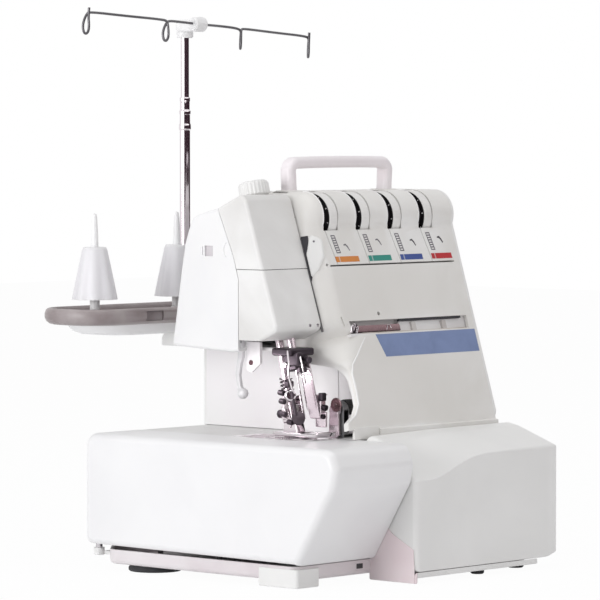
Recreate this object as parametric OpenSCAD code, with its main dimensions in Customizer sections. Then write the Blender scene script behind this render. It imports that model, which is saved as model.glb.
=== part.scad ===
// Serger overlock machine. Millimetres, +Z up, +X to the operator's right, -Y towards the operator.
// The origin lies on the table, under the middle of the machine and its spool tray.

/* [Cloth plate] */
// Left face of the cloth plate
plate_x0 = -130; // [-134:1:-124]
// Right edge of the cloth plate
plate_x1 = -47.4; // [-49:0.2:-47.4]
// Front lip of the cloth plate, at its top
plate_front_y = -139; // [-144:1:-132]
// How far the foot of the plate's front wall lies behind its lip
plate_undercut = 37; // [28:1:40]
// Rear face of the cloth plate
plate_rear_y = 110; // [104:1:116]
// Underside of the cloth plate's walls
plate_z0 = 18; // [17:0.5:24]
// Height of the bed surface
bed_z = 100; // [96:1:104]
// Rounding of the cloth plate's front corner
plate_round = 9; // [4:1:10]
// Moulded wall thickness of every cover
wall = 2.5; // [2:0.1:3]

/* [Looper cover] */
// Left end of the looper cover
cover_x0 = -47; // [-47:0.2:-46]
// Right end of the looper cover
cover_x1 = 113; // [108:1:118]
// Front face of the looper cover
cover_front_y = -141; // [-144:1:-138]
// Rear edge of the looper cover's sloped top
cover_rear_y = -91; // [-98:1:-90.5]
// Underside of the looper cover
cover_z0 = 8.5; // [8:0.5:12]
// Height of the crease between front face and sloped top
cover_crease_z = 88; // [80:1:94]
// Height of the sloped top's rear edge
cover_top_z = 106; // [102:1:110]
// Radius of the rod that the looper cover turns on
cover_rod_r = 2.5; // [2:0.1:3]

/* [Body] */
// Left end of the upper body
body_x0 = -57; // [-58:0.5:-56]
// Rounding of the upper body's left front corner
corner_r = 12.5; // [8:0.5:14]
// Left edge of the panel where it stands beside the throat
wing_x0 = -43.5; // [-46:0.5:-41]
// Left wall of the column beside the throat
column_x0 = -12; // [-15:1:-8]
// Outer face of the right cover
body_x1 = 107; // [104:1:109]
// Foot of the leaning front panel
panel_foot_y = -88; // [-90:0.5:-85]
// Height of the panel's foot
panel_foot_z = 107.5; // [107.5:0.5:112]
// How far the panel leans back for each unit of height
panel_lean = 0.31; // [0.26:0.01:0.34]
// Top of the body
body_top_z = 277; // [274:1:280]
// Rear face of the lower body
body_rear_y = 101; // [98:1:104]
// Height of the shelf that carries the thread stand
shelf_z = 163; // [158:1:166]

/* [Head] */
// Left face of the head
head_x0 = -98; // [-102:1:-94]
// Right face of the head
head_x1 = -58; // [-60:0.5:-58]
// Foot of the head's leaning front face
head_foot_y = -54; // [-57:1:-51]
// Height of the head's front foot
head_foot_z = 179; // [176:1:183]
// How far the head's front leans back for each unit of height
head_lean = 0.333; // [0.3:0.01:0.35]
// Height of the seam between the upper and lower face covers
face_seam_z = 222; // [212:1:232]

/* [Needle and presser] */
// Place of the needle bar across the machine
needle_x = -66; // [-68:0.5:-65]
// Where the needle line meets the bed surface
needle_y = -54; // [-56:0.5:-52]
// Place of the presser bar across the machine
presser_x = -61; // [-62:0.5:-60]
// Where the presser bar's line meets the bed surface
presser_y = -38; // [-40:0.5:-36]
// Lean of both bars from upright, in degrees
bar_lean = 13; // [11:0.5:15]
// Needle bar radius
needle_bar_r = 3.2; // [2.8:0.1:3.6]
// Presser bar radius
presser_bar_r = 3; // [2.6:0.1:3.4]
// Radial running clearance of a bar or shaft in its bush
running = 0.05; // [0.03:0.01:0.08]

/* [Drive] */
// Main shaft radius
shaft_r = 5; // [4:0.5:6]
// Main shaft's place from front to back
shaft_y = 22; // [16:1:28]
// Main shaft's height
shaft_z = 66; // [62:1:72]
// Handwheel radius
wheel_r = 34; // [30:1:36]
// Handwheel width
wheel_w = 26; // [20:1:28]
// Pitch radius of the pulley on the main shaft
big_pulley_r = 26; // [22:1:28]
// Pitch radius of the motor's pulley
small_pulley_r = 8; // [7:0.5:10]
// Motor body radius
motor_r = 26; // [22:1:28]
// Motor body length
motor_len = 76; // [60:1:80]

/* [Tension dials] */
// Left face of the first dial
dial_x0 = -32; // [-34:0.5:-30]
// Distance from one dial to the next
dial_pitch = 35; // [32:0.5:35]
// Dial radius
dial_r = 19; // [17:0.5:19.5]
// Dial width
dial_w = 9; // [7:0.5:10]
// Height of the dials' axis
dial_z = 257.5; // [254:0.5:258]

/* [Thread stand] */
// Half length of the spool tray
tray_half = 157; // [145:1:160]
// Front edge of the spool tray
tray_y0 = 71; // [68:1:75]
// Rear edge of the spool tray
tray_y1 = 141; // [136:1:144]
// Underside of the spool tray
tray_z0 = 175; // [175:0.5:180]
// Height of the spool tray's rim
tray_h = 12; // [10:0.5:16]
// Distance between spool pins
pin_pitch = 86; // [76:1:88]
// Spool pins' place from front to back
pin_y = 99; // [96:1:104]
// Height of the tip of a spool pin
pin_top_z = 261; // [250:1:275]
// Radius of a spool cone holder at its foot
cone_foot_r = 16; // [13:0.5:17]
// Radius of a spool cone holder at its top
cone_top_r = 8.6; // [7:0.2:9.6]
// Radius of the lower mast tube
mast_r = 4; // [3.6:0.1:4.6]
// Mast's place from front to back
mast_y = 132; // [128:1:134]
// Top of the lower mast tube
mast_joint_z = 336; // [320:1:338]
// Top of the sliding mast tube
mast_top_z = 392; // [390:1:405]
// Turn of the thread guide about the mast, in degrees
guide_yaw = 4.5; // [0:0.5:8]
// Droop of the guide wires towards the right, in degrees
guide_roll = 3.1; // [0:0.1:4]
// Distance from the first thread loop to the last
guide_span = 249; // [220:1:260]

/* [Hidden] */
$fn = 64;
fit = 0.3;                       // gap between covers and between moving pieces
foot_h = 3;                      // height of the pan above the table
pan_h = 12;
pan_z1 = foot_h + pan_h;
pan_x0 = plate_x0 + 5;
pan_y0 = plate_front_y + plate_undercut + 4;
pan_lip_y = cover_front_y + 8;
pan_y1 = body_rear_y - 2;
pan_x1 = body_x1 - 3;
pan_step_x = cover_x0 + 2;
lip_top_z = cover_z0 - 2;
plate_mid_x = needle_x - 16;     // edge of the needle plate's cut-out
needle_plate_y0 = needle_y - 7;
needle_plate_y1 = needle_y + 62;
pin_x = plate_x0 + 9;            // cloth plate hinge
pin_hinge_y = plate_rear_y - 7;
pin_r = 2.5;
knuckle_r = 5;
cover_hinge_y = cover_front_y + 8;
cover_hinge_z = cover_z0 + 7;
split_y = 8;                     // seam between front and rear covers
right_x0 = body_x1 - wall;
dial_y = panel_y(dial_z) + dial_r - 3.5;
guide_z = 184;                   // thread guide ledge in the front panel
tray_z1 = tray_z0 + tray_h;
motor_y = 64;
motor_z = 52;
belt_x = right_x0 - 16;
belt_w = 7;
motor_x1 = belt_x - 8;
rock_y = 6;                      // rock shaft that drives the needle bar
rock_z = 214;
lifter_y = 2;
lifter_z = 172;

function panel_y(z) = panel_foot_y + panel_lean * (z - panel_foot_z);
function head_y(z) = head_foot_y + head_lean * (z - head_foot_z);
function bar_y(foot, z) = foot + (z - bed_z) * tan(bar_lean);

// 2D outline in (Y, Z), drawn out along X from x0 to x1
module along_x(x0, x1) {
    translate([x0, 0, 0]) rotate([90, 0, 90]) linear_extrude(x1 - x0) children();
}
module cyl_x(x0, x1, y, z, r) {
    translate([x0, y, z]) rotate([0, 90, 0]) cylinder(r = r, h = x1 - x0);
}
module tube_x(x0, x1, y, z, r_out, r_in) {
    difference() {
        cyl_x(x0, x1, y, z, r_out);
        cyl_x(x0 - 1, x1 + 1, y, z, r_in);
    }
}
module box(a, b) {
    translate(a) cube(b - a);
}
module rounded_rect(a, b, r) {
    translate([a[0] + r, a[1]]) square([b[0] - a[0] - 2 * r, b[1] - a[1]]);
    translate([a[0], a[1] + r]) square([b[0] - a[0], b[1] - a[1] - 2 * r]);
    for (x = [a[0] + r, b[0] - r], y = [a[1] + r, b[1] - r]) translate([x, y]) circle(r);
}
module slab(a, b, z0, z1, r) {
    translate([0, 0, z0]) linear_extrude(z1 - z0) rounded_rect(a, b, r);
}
// Stands its children on the leaning line that meets the bed at (x, y)
module on_bar(x, y) {
    translate([x, y, bed_z]) rotate([-bar_lean, 0, 0]) children();
}
module soften(r) {
    offset(r = r) offset(delta = -r) children();
}

// ---- Base ----
module pan_outline(inset) {
    offset(r = 8 - inset) offset(delta = -8) polygon([[pan_x0, pan_y0], [pan_step_x, pan_y0],
        [pan_step_x, pan_lip_y], [pan_x1, pan_lip_y], [pan_x1, pan_y1], [pan_x0, pan_y1]]);
}
foot_spots = [[pan_x0 + 21, 57, 20], [pan_x1 - 24, 66, 20], [pan_x1 - 14, pan_lip_y + 14, 9],
    [pan_step_x + 13, pan_lip_y + 13, 9], [pan_x0 + 13, pan_y0 + 16, 9]];
module base_pan() color("white") {
    difference() {
        translate([0, 0, foot_h]) linear_extrude(pan_h) pan_outline(0);
        translate([0, 0, foot_h + wall]) linear_extrude(pan_h) pan_outline(wall);
        box([pan_step_x - 1, pan_lip_y - 1, lip_top_z], [pan_x1 + 1, pan_y0, pan_z1 + 1]);
        translate([pin_x, pin_hinge_y, foot_h + 1]) cylinder(r = pin_r + running, h = pan_h);
        for (p = screw_spots) translate([p[0], p[1], foot_h - 1]) cylinder(r = 2.2, h = pan_h);
    }
    difference() {
        translate([pin_x, pin_hinge_y - 6, foot_h]) linear_extrude(pan_h)
            rounded_rect([-6, -8], [6, 12], 5);
        translate([pin_x, pin_hinge_y, foot_h + 1]) cylinder(r = pin_r + running, h = pan_h);
    }
    for (x = [rod_x0, rod_x1]) difference() {
        union() {
            cyl_x(x - 3, x + 3, cover_hinge_y, cover_hinge_z, bracket_r);
            box([x - 3, cover_hinge_y, cover_hinge_z - bracket_r],
                [x + 3, cover_hinge_y + 13, cover_hinge_z + bracket_r]);
            box([x - 3, cover_hinge_y + 9, foot_h + wall - 0.5],
                [x + 3, cover_hinge_y + 13, cover_hinge_z]);
        }
        cyl_x(x - 4, x + 4, cover_hinge_y, cover_hinge_z, cover_rod_r + running);
    }
}
bracket_r = cover_rod_r + 1.1;
rod_x0 = cover_x0 + 20;
rod_x1 = cover_x1 - 20;
screw_spots = [[pan_x0 + 45, 20], [pan_x0 + 45, 80], [pan_x1 - 20, 20], [pan_x1 - 20, -70]];

module rubber_feet() color([0.08, 0.08, 0.09]) for (p = foot_spots)
    translate([p[0], p[1], 0]) {
        cylinder(r1 = p[2] - 1, r2 = p[2], h = 1);
        translate([0, 0, 1]) cylinder(r = p[2], h = foot_h - 1);
    }

module plate_hinge_pin() color("silver")
    translate([pin_x, pin_hinge_y, foot_h + 1.3]) cylinder(r = pin_r, h = bed_z - foot_h - 12);

module cover_screws() color("silver") {
    for (p = screw_spots) translate([p[0], p[1], 0]) {
        translate([0, 0, foot_h - 2]) cylinder(r = 4, h = 2 - fit / 3);
        translate([0, 0, foot_h - 1]) cylinder(r = 2, h = frame_z0 + 3 - foot_h);
    }
    for (x = [head_x1 - 13, head_x1 - 4.7])
        translate([x, head_y(head_foot_z + 8), head_foot_z + 8]) rotate([90, 0, 0])
            translate([0, 0, -wall - 3]) cylinder(r = 1.3, h = wall + 3.6);
}

// ---- Frame ----
frame_z0 = pan_z1 + 1;
frame_t = 8;
column_y0 = -20;
column_y1 = 36;
column_w = 26;
column_top_y = dial_y + dial_r + 2;
arm_z0 = 186;
arm_z1 = 246;
shaft_stand_w = 10;
stand_xs = [plate_mid_x + 32, right_x0 - 40];
module main_frame() color([0.55, 0.56, 0.58]) difference() {
    union() {
        box([column_x0 - 55, -58, frame_z0], [right_x0 - 6, 84, frame_z0 + frame_t]);
        box([pan_step_x + 2, width_y - 4, frame_z0], [column_x0 + 40, -57, frame_z0 + frame_t]);
        // lug that carries the lifter lever's shaft
        box([presser_x - 13, lifter_y + 7, lifter_z - 5], [presser_x - 7, lifter_y + 17, arm_z0 + 15]);
        box([column_x0 + 6, column_y0, frame_z0 + 1], [column_x0 + 6 + column_w, column_y1, arm_z1 - 14]);
        box([column_x0 + 6, column_top_y, frame_z0 + 1], [column_x0 + 6 + column_w, column_y1, arm_z1]);
        box([head_x0 + 8, -14, arm_z0 + 14], [body_x1 - 30, column_y1 - 12, arm_z1 - 8]);
        for (x = stand_xs) box([x, shaft_y - 14, frame_z0 + 1],
            [x + shaft_stand_w, shaft_y + 14, shaft_z + 12]);
        // rails that carry the needle plate
        box([plate_mid_x + 1.5, needle_plate_y0, frame_z0 + 1],
            [dog_xs[0] - 1.6, needle_plate_y1, bed_z - wall]);
        box([plate_mid_x + 1.5, needle_plate_y1 - 5, frame_z0 + 1],
            [plate_x1 - 1, needle_plate_y1, bed_z - wall]);
        // block that guides both bars
        box([needle_x - 9, -22, arm_z0 - 6], [presser_x + 9, 6, arm_z1 - 8]);
        box([needle_x - 9, bar_y(needle_y, arm_z0) - 9, arm_z0 - 6], [presser_x + 9, -10, arm_z0 + 6]);
        box([needle_x - 9, bar_y(needle_y, arm_z1) - 9, arm_z1 - 20], [presser_x + 9, -5, arm_z1 - 8]);
    }
    for (x = stand_xs) cyl_x(x - 1, x + shaft_stand_w + 1, shaft_y, shaft_z, bush_r);
    cyl_x(column_x0 + 5, column_x0 + column_w + 7, shaft_y, shaft_z, shaft_r + 1.5);
    on_bar(needle_x, needle_y) translate([0, 0, 60]) cylinder(r = bar_bush_r, h = 110);
    on_bar(presser_x, presser_y) translate([0, 0, 60]) cylinder(r = bar_bush_r, h = 150);
    cyl_x(presser_x - 14, presser_x - 6, lifter_y + 12, lifter_z, lifter_r + running);
    cyl_x(head_x0 + 4, body_x1 - 20, rock_y, rock_z, 7);
    box([needle_x - 10, -23, arm_z0 + 8], [needle_x + 1.5, 17, arm_z1 - 16]);
    for (p = screw_spots) translate([p[0], p[1], frame_z0 - 1])
        cylinder(r = 2 + running, h = frame_t + 2);
}
bush_r = shaft_r + 4;
bar_bush_r = needle_bar_r + 2.6;

module bushes() color([0.72, 0.55, 0.3]) {
    for (x = stand_xs) difference() {
        tube_x(x, x + shaft_stand_w, shaft_y, shaft_z, bush_r - running, shaft_r + running);
    }
    for (z = [arm_z0 - 4, arm_z1 - 18]) {
        bar_bush(needle_x, needle_y, needle_bar_r, z);
        bar_bush(presser_x, presser_y, presser_bar_r, z);
    }
}
module bar_bush(x, y, r, z) {
    on_bar(x, y) translate([0, 0, (z - bed_z) / cos(bar_lean)]) difference() {
        cylinder(r = bar_bush_r - running, h = 8);
        translate([0, 0, -1]) cylinder(r = r + running, h = 10);
    }
}

// ---- Covers ----
module body_outline() {
    soften(5) polygon([[panel_foot_y, panel_foot_z], [panel_y(dial_z - 6), dial_z - 6],
        [dial_y, body_top_z], [14, body_top_z], [40, body_top_z - 14], [54, shelf_z + 34],
        [56, shelf_z + 8], [body_rear_y, shelf_z + 8], [body_rear_y, panel_foot_z]]);
    translate([dial_y, body_top_z - roll_r]) circle(roll_r);
}
roll_r = dial_r - 0.6;           // roll over the tension dials
// What the rounded left front corner takes away, inside or outside the wall
module corner_cut(inset) {
    r = corner_r - inset;
    translate([body_x0 + inset, panel_foot_y, panel_foot_z]) rotate([-atan(panel_lean), 0, 0])
        translate([0, inset, guide_z - panel_foot_z - 30]) difference() {
            translate([-5, -5, 0]) cube([r + 5, r + 5, 130]);
            translate([r, r, -1]) cylinder(r = r, h = 132);
        }
}
module body_solid(inset) difference() {
    along_x(body_x0 + inset, right_x0 - fit + inset) offset(delta = -inset) body_outline();
    corner_cut(inset);
}
module body_ring() {
    difference() {
        body_outline();
        offset(delta = -wall) body_outline();
        translate([panel_foot_y - 50, panel_foot_z - 1]) square([400, wall + 1.01]);
    }
}
module front_cover() color([0.93, 0.93, 0.91]) difference() {
    union() {
        intersection() {
            difference() {
                body_solid(0);
                body_solid(wall);
            }
            box([body_x0 - 1, panel_foot_y - 20, shelf_z + 1 + fit], [body_x1, split_y, body_top_z + 1]);
        }
        along_x(wing_x0, right_x0 - fit) intersection() {
            body_ring();
            translate([panel_foot_y - 20, panel_foot_z]) square([60, shelf_z + 2 - panel_foot_z]);
        }
        // floor behind the guide ledge
        along_x(body_x0 + corner_r, right_x0 - 8) translate([panel_y(guide_z) - wall, guide_z - 12])
            square([20 + wall, wall]);
    }
    arm_hole();
    for (i = [0:3]) cyl_x(dial_left(i) - 3, dial_left(i) + dial_w + 0.8, dial_y, dial_z, dial_r + 1);
    for (i = [0:3]) translate([dial_left(i) - 5, panel_y(dial_z), dial_z - dial_r - 22])
        rotate([-atan(panel_lean), 0, 0]) translate([-0.6, -8, 0]) cube([1.2, 16, 26]);
    box([guide_x0, panel_y(guide_z) - 8, guide_z - 12 + wall], [guide_x1, panel_y(guide_z) + 12, guide_z]);
    box([guide_x1 - 1, panel_y(guide_z) - 6, guide_z - 1.6], [body_x1 - 19, panel_y(guide_z) + 8, guide_z]);
    on_panel_slot();
    for (x = handle_xs) translate([x - 8.5, handle_y - 7.3, body_top_z - 6]) cube([17, 14.6, 8]);
    knob_scoop();
    // left wall behind the pressure knob's well
    box([body_x0 - 1, 0, arm_z1 - 1], [body_x0 + wall + 0.1, split_y + 1, body_top_z - 8]);
}
module knob_scoop() {
    on_bar(presser_x, presser_y) {
        translate([0, 0, presser_top - 6]) cylinder(r = 12.5, h = 30);
        translate([0, 0, presser_top - 48]) cylinder(r = 8.4, h = 60);
    }
}
module on_panel_slot() {
    translate([dial_left(0) - 8, panel_y(dial_z - 33) - 3, dial_z - 34.4]) cube([136, 4, 1.4]);
}
module arm_hole() {
    box([body_x0 - 1, -44, arm_z0 - 8], [body_x0 + wall + 1, column_y1, arm_z1]);
}
guide_x0 = body_x0 + 24;
guide_x1 = body_x0 + 80;
function dial_left(i) = dial_x0 + i * dial_pitch;

module rear_cover() color([0.9, 0.9, 0.89]) difference() {
    union() {
        along_x(body_x0, right_x0 - fit) intersection() {
            body_ring();
            translate([split_y + fit, shelf_z - 1.5]) square([200, 200]);
        }
        along_x(body_x0, body_x0 + wall) intersection() {
            body_outline();
            translate([split_y + fit, shelf_z - 1.5]) square([200, 200]);
        }
        along_x(column_x0 + 0.5, right_x0 - fit) translate([body_rear_y - wall, frame_z0 + 1])
            square([wall, shelf_z - frame_z0]);
        along_x(body_x0, column_x0 + 1) translate([split_y + fit, shelf_z - 1.5])
            square([body_rear_y - split_y - fit, wall]);
    }
    arm_hole();
    knob_scoop();
    for (x = [-20, 20]) translate([x, 82, shelf_z]) cylinder(r = 2.2, h = 20);
    for (i = [0:5]) box([20 + i * 12, body_rear_y - 5, 60], [24 + i * 12, body_rear_y + 5, 92]);
}

module right_outline() {
    soften(6) union() {
        body_outline();
        polygon([[panel_y(panel_foot_z + 12), panel_foot_z + 12], [body_rear_y, panel_foot_z + 12],
            [body_rear_y, frame_z0 + 1], [cover_rear_y + 5, frame_z0 + 1], [cover_rear_y + 5, 100]]);
    }
}
module right_cover() color([0.9, 0.9, 0.89]) difference() {
    union() {
        along_x(right_x0, body_x1) right_outline();
        along_x(right_x0 - 6, right_x0 + 0.5) difference() {
            offset(delta = -wall - fit) right_outline();
            offset(delta = -2 * wall - fit) right_outline();
        }
    }
    cyl_x(right_x0 - 1, body_x1 + 1, shaft_y, shaft_z, shaft_r + 1.5);
    box([right_x0 - 8, switch_y - 7.5, switch_z - 11], [body_x1 + 1, switch_y + 7.5, switch_z + 11]);
    box([right_x0 - 8, switch_y - 14, inlet_z - 10], [body_x1 + 1, switch_y + 14, inlet_z + 10]);
    cyl_x(right_x0 - 8, body_x1 + 1, length_y, length_z, 3.5);
    box([right_x0 - 8, lever_y - 2 - running, lever_z - 18], [body_x1 + 1, lever_y + 2 + running, lever_z + 18]);
    box([right_x0 - 20, -200, 0], [right_x0 + fit, cover_rear_y + 2, panel_foot_z]);
    box([right_x0 - 8, panel_foot_y - 5, bed_z - 5], [right_x0, panel_foot_y + 14, panel_foot_z + 14]);
}
switch_y = 74;
switch_z = 40;
inlet_z = 68;
length_y = -40;
length_z = 150;
lever_y = 58;
lever_z = 140;

throat_front_y = -40;            // where the column's side wall turns to the right
module throat_cover() color([0.95, 0.95, 0.95]) difference() {
    union() {
        box([column_x0, throat_front_y, bed_z + 0.5], [column_x0 + wall, body_rear_y - wall - fit,
            shelf_z - 2]);
        box([column_x0, throat_front_y, bed_z + 0.5], [column_x0 + 40, throat_front_y + wall,
            shelf_z + 1]);
        box([body_x0 + 3, throat_front_y, shelf_z - 1.5], [column_x0 + 1, split_y, shelf_z + 1]);
        box([body_x0 + 3, panel_y(shelf_z) + 5, shelf_z - 1.5], [column_x0 + 40, throat_front_y + 1,
            shelf_z + 1]);
    }
    on_bar(needle_x, needle_y) cylinder(r = 9, h = 100);
    on_bar(presser_x, presser_y) cylinder(r = 9, h = 100);
}
module bed_cover() color([0.93, 0.93, 0.92]) {
    difference() {
        union() {
            box([plate_mid_x + fit * 3, needle_plate_y1 + fit, bed_z - wall],
                [column_x0 + 30, body_rear_y - wall - fit, bed_z]);
            box([plate_x1 + fit + 0.6, cover_rear_y + 5, bed_z - wall],
                [column_x0 + 30, needle_plate_y1 + 1, bed_z]);
            box([plate_mid_x + fit * 3, body_rear_y - 2 * wall - fit, frame_z0 + 1],
                [column_x0, body_rear_y - wall - fit, bed_z - 1]);
        }
        box([column_x0 + 5, column_y0 - 1, 0], [column_x0 + 40, column_y1 + 1, 200]);
        box([knife_x - 4, needle_y - 22, bed_z - 5], [knife_x + 5, needle_y + 4, bed_z + 5]);
    }
    for (y = [looper_y - 16.5, 70]) box([column_x0 + 1, y, frame_z0 + frame_t],
        [column_x0 + 5, y + 5, bed_z - 1]);
}

module head_outline() {
    soften(4) polygon([[head_foot_y, head_foot_z], [head_y(272), 272], [head_y(272) + 5, 276],
        [5, 266], [31, 259], [38, 240], [42, 219], [51, 165], [14, 163], [-9, 162], [-24, 164],
        [-32, 168]]);
}
module seam_side(front) {
    shift = front ? -fit : 0;
    far = front ? -120 : 120;
    polygon([[far, 100], [shift - 16, 100], [shift - 16, 216], [shift + 5, 268], [shift + 5, 300],
        [far, 300]]);
}
module head_shell(x1) {
    along_x(head_x0, x1) difference() {
        head_outline();
        offset(delta = -wall) head_outline();
    }
    along_x(head_x0, head_x0 + wall) head_outline();
}
module head_opening() {
    box([head_x0 + 9, -60, 150], [head_x1 + 1, -4, head_foot_z - 3]);
    box([head_x0 + 6, -4, 150], [head_x1 - 6, 24, 172]);
    box([presser_x - 9, -4, 150], [presser_x + 1, 46, 172]);
}
module head_cover() color([0.95, 0.95, 0.95]) difference() {
    intersection() {
        head_shell(body_x0 - fit);
        along_x(head_x0 - 1, body_x0) seam_side(false);
    }
    head_opening();
    box([body_x0 - 20, -200, 100], [body_x0, split_y - 40, 200]);
    on_bar(presser_x, presser_y) cylinder(r = 8.4, h = 220);
    translate([head_x0 - 1, 13, 231]) cube([2, 8, 7]);
}
module face_piece(z0, z1) {
    difference() {
        intersection() {
            head_shell(head_x1);
            along_x(head_x0 - 1, head_x1 + 1) intersection() {
                seam_side(true);
                translate([-120, z0]) square([240, z1 - z0]);
            }
        }
        head_opening();
        on_bar(presser_x, presser_y) cylinder(r = 8.4, h = 220);
        for (x = [head_x1 - 13, head_x1 - 4.7])
            translate([x, head_y(head_foot_z + 8), head_foot_z + 8]) rotate([90, 0, 0])
                translate([0, 0, -wall - 5]) cylinder(r = 1.4, h = 20);
    }
}
module face_upper_cover() color([0.93, 0.93, 0.91]) face_piece(face_seam_z + fit, 300);
module face_lower_cover() color([0.93, 0.93, 0.91]) face_piece(100, face_seam_z);

handle_xs = [-34, 73];
handle_y = -5;
handle_h = 25;
module carrying_handle() color([0.95, 0.92, 0.93]) {
    along_y_bar() polygon(concat(
        [[handle_xs[0] - 7, -5], [handle_xs[0] - 9, handle_h - 8], [handle_xs[0] - 2, handle_h]],
        [[handle_xs[1] + 2, handle_h], [handle_xs[1] + 9, handle_h - 8], [handle_xs[1] + 7, -5]],
        [[handle_xs[1] - 6, -5], [handle_xs[1] - 8, handle_h - 11.5],
         [handle_xs[0] + 8, handle_h - 11.5], [handle_xs[0] + 6, -5]]));
}
module along_y_bar() {
    translate([0, handle_y + 7, body_top_z]) rotate([90, 0, 0]) linear_extrude(14) children();
}

// ---- Opening covers ----
module plate_profile() {
    soften(plate_round) polygon([[plate_front_y + plate_undercut, plate_z0 - 20],
        [plate_front_y + plate_undercut, plate_z0], [plate_front_y + 3, bed_z - 28],
        [plate_front_y, bed_z - 12], [plate_front_y + 8, bed_z], [plate_rear_y, bed_z],
        [plate_rear_y, plate_z0 - 20]]);
}
module cloth_plate() color([0.95, 0.95, 0.96]) difference() {
    union() {
        difference() {
            along_x(plate_x0, plate_x1) plate_profile();
            along_x(plate_x0 + wall, plate_x1 + 1) offset(delta = -wall) plate_profile();
            box([plate_x0 - 1, plate_front_y - 1, -10], [plate_x1 + 1, plate_rear_y + 1, plate_z0]);
            box([plate_mid_x, needle_plate_y0 - fit, plate_z0 - 30],
                [plate_x1 + 1, plate_rear_y + 1, bed_z + 1]);
        }
        for (z = hinge_zs) translate([0, 0, z]) linear_extrude(8) {
            translate([pin_x, pin_hinge_y]) circle(knuckle_r);
            translate([plate_x0 + 1, pin_hinge_y - knuckle_r]) square([pin_x - plate_x0 - 1,
                2 * knuckle_r]);
        }
    }
    translate([pin_x, pin_hinge_y, 0]) cylinder(r = pin_r + running, h = bed_z - wall - 1);
}
hinge_zs = [plate_z0 + 6, bed_z - 26];

module cover_profile(crease) {
    polygon([[cover_front_y, cover_z0 + 6], [cover_front_y, crease], [cover_front_y + 4, crease + 2],
        [cover_rear_y, cover_top_z], [cover_rear_y + 2, cover_z0 + 20], [cover_front_y + 14, cover_z0],
        [cover_front_y + 5, cover_z0]]);
}
module cover_block(inset, x0, x1) {
    along_x(x0, crease_x0) offset(delta = -inset) cover_profile(low_crease_z);
    for (i = [0:crease_steps - 1]) along_x(crease_x0 + i * crease_step, crease_x0 + (i + 1) * crease_step)
        offset(delta = -inset) cover_profile(crease_at(i));
    along_x(crease_x0 + crease_steps * crease_step, x1) offset(delta = -inset)
        cover_profile(cover_crease_z);
}
// The crease climbs from left to right along an S-shaped line
crease_rise = 14;
low_crease_z = cover_crease_z - crease_rise;
crease_x0 = cover_x0 + 24;
crease_steps = 12;
crease_step = 4.5;
function crease_at(i) = low_crease_z + crease_rise * (1 - cos(180 * (i + 0.5) / crease_steps)) / 2;
module looper_cover() color([0.93, 0.93, 0.91]) difference() {
    union() {
        difference() {
            cover_block(0, cover_x0, cover_x1);
            cover_block(wall, cover_x0 + wall, cover_x1 - wall);
            along_x(cover_x0 + wall, cover_x1 - wall) {
                translate([cover_front_y + wall, 0]) square([80, cover_z0 + 22]);
                translate([cover_rear_y - 4, 0]) square([34, cover_top_z - 7]);
            }
        }
        for (x = [rod_x0 + 12, rod_x1 - 20]) along_x(x, x + 8) {
            translate([cover_hinge_y, cover_hinge_z]) circle(cover_rod_r + 2.6);
            translate([cover_front_y + 1, cover_hinge_z - 3]) square([cover_hinge_y - cover_front_y - 1, 6]);
        }
    }
    cyl_x(cover_x0 - 1, cover_x1 + 1, cover_hinge_y, cover_hinge_z, cover_rod_r + running);
}
module looper_cover_rod() color("silver")
    cyl_x(cover_x0 + 6, cover_x1 - 6, cover_hinge_y, cover_hinge_z, cover_rod_r);

module needle_plate() color([0.78, 0.79, 0.8]) difference() {
    union() {
        box([plate_mid_x + 1, needle_plate_y0, bed_z - wall], [plate_x1 - fit, needle_plate_y1, bed_z]);
        // stitch finger beside the needles
        box([needle_x + 6, needle_y - 3, bed_z - wall], [needle_x + 7, needle_y + 12, bed_z + 0.6]);
    }
    box([needle_x - 6, needle_y - 4, bed_z - 5], [needle_x + 5, needle_y + 4, bed_z + 5]);
    for (x = dog_xs) box([x - 2.2, needle_y + 6, bed_z - 5], [x + 2.2, needle_y + 56, bed_z + 5]);
    box([knife_x - 3, needle_y - 8, bed_z - 5], [knife_x + 4, needle_y + 4, bed_z + 5]);
}
dog_xs = [needle_x - 9, needle_x + 1, needle_x + 11];
module feed_dog(y0, y1) {
    for (x = dog_xs) {
        box([x - 1, y0, bed_z - 9], [x + 1, y1, bed_z]);
        for (i = [0:floor((y1 - y0) / 2) - 1]) along_x(x - 1, x + 1)
            polygon([[y0 + 2 * i, bed_z - 0.1], [y0 + 2 * i + 2, bed_z - 0.1], [y0 + 2 * i + 2, bed_z + 0.8]]);
    }
    box([dog_xs[0] - 1, y0 + 2, bed_z - 12], [dog_xs[2] + 1, y0 + 8, bed_z - 8]);
}
module main_feed_dog() color("silver") feed_dog(needle_y + 33, needle_y + 53);
module differential_feed_dog() color("silver") feed_dog(needle_y + 9, needle_y + 29);

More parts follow.
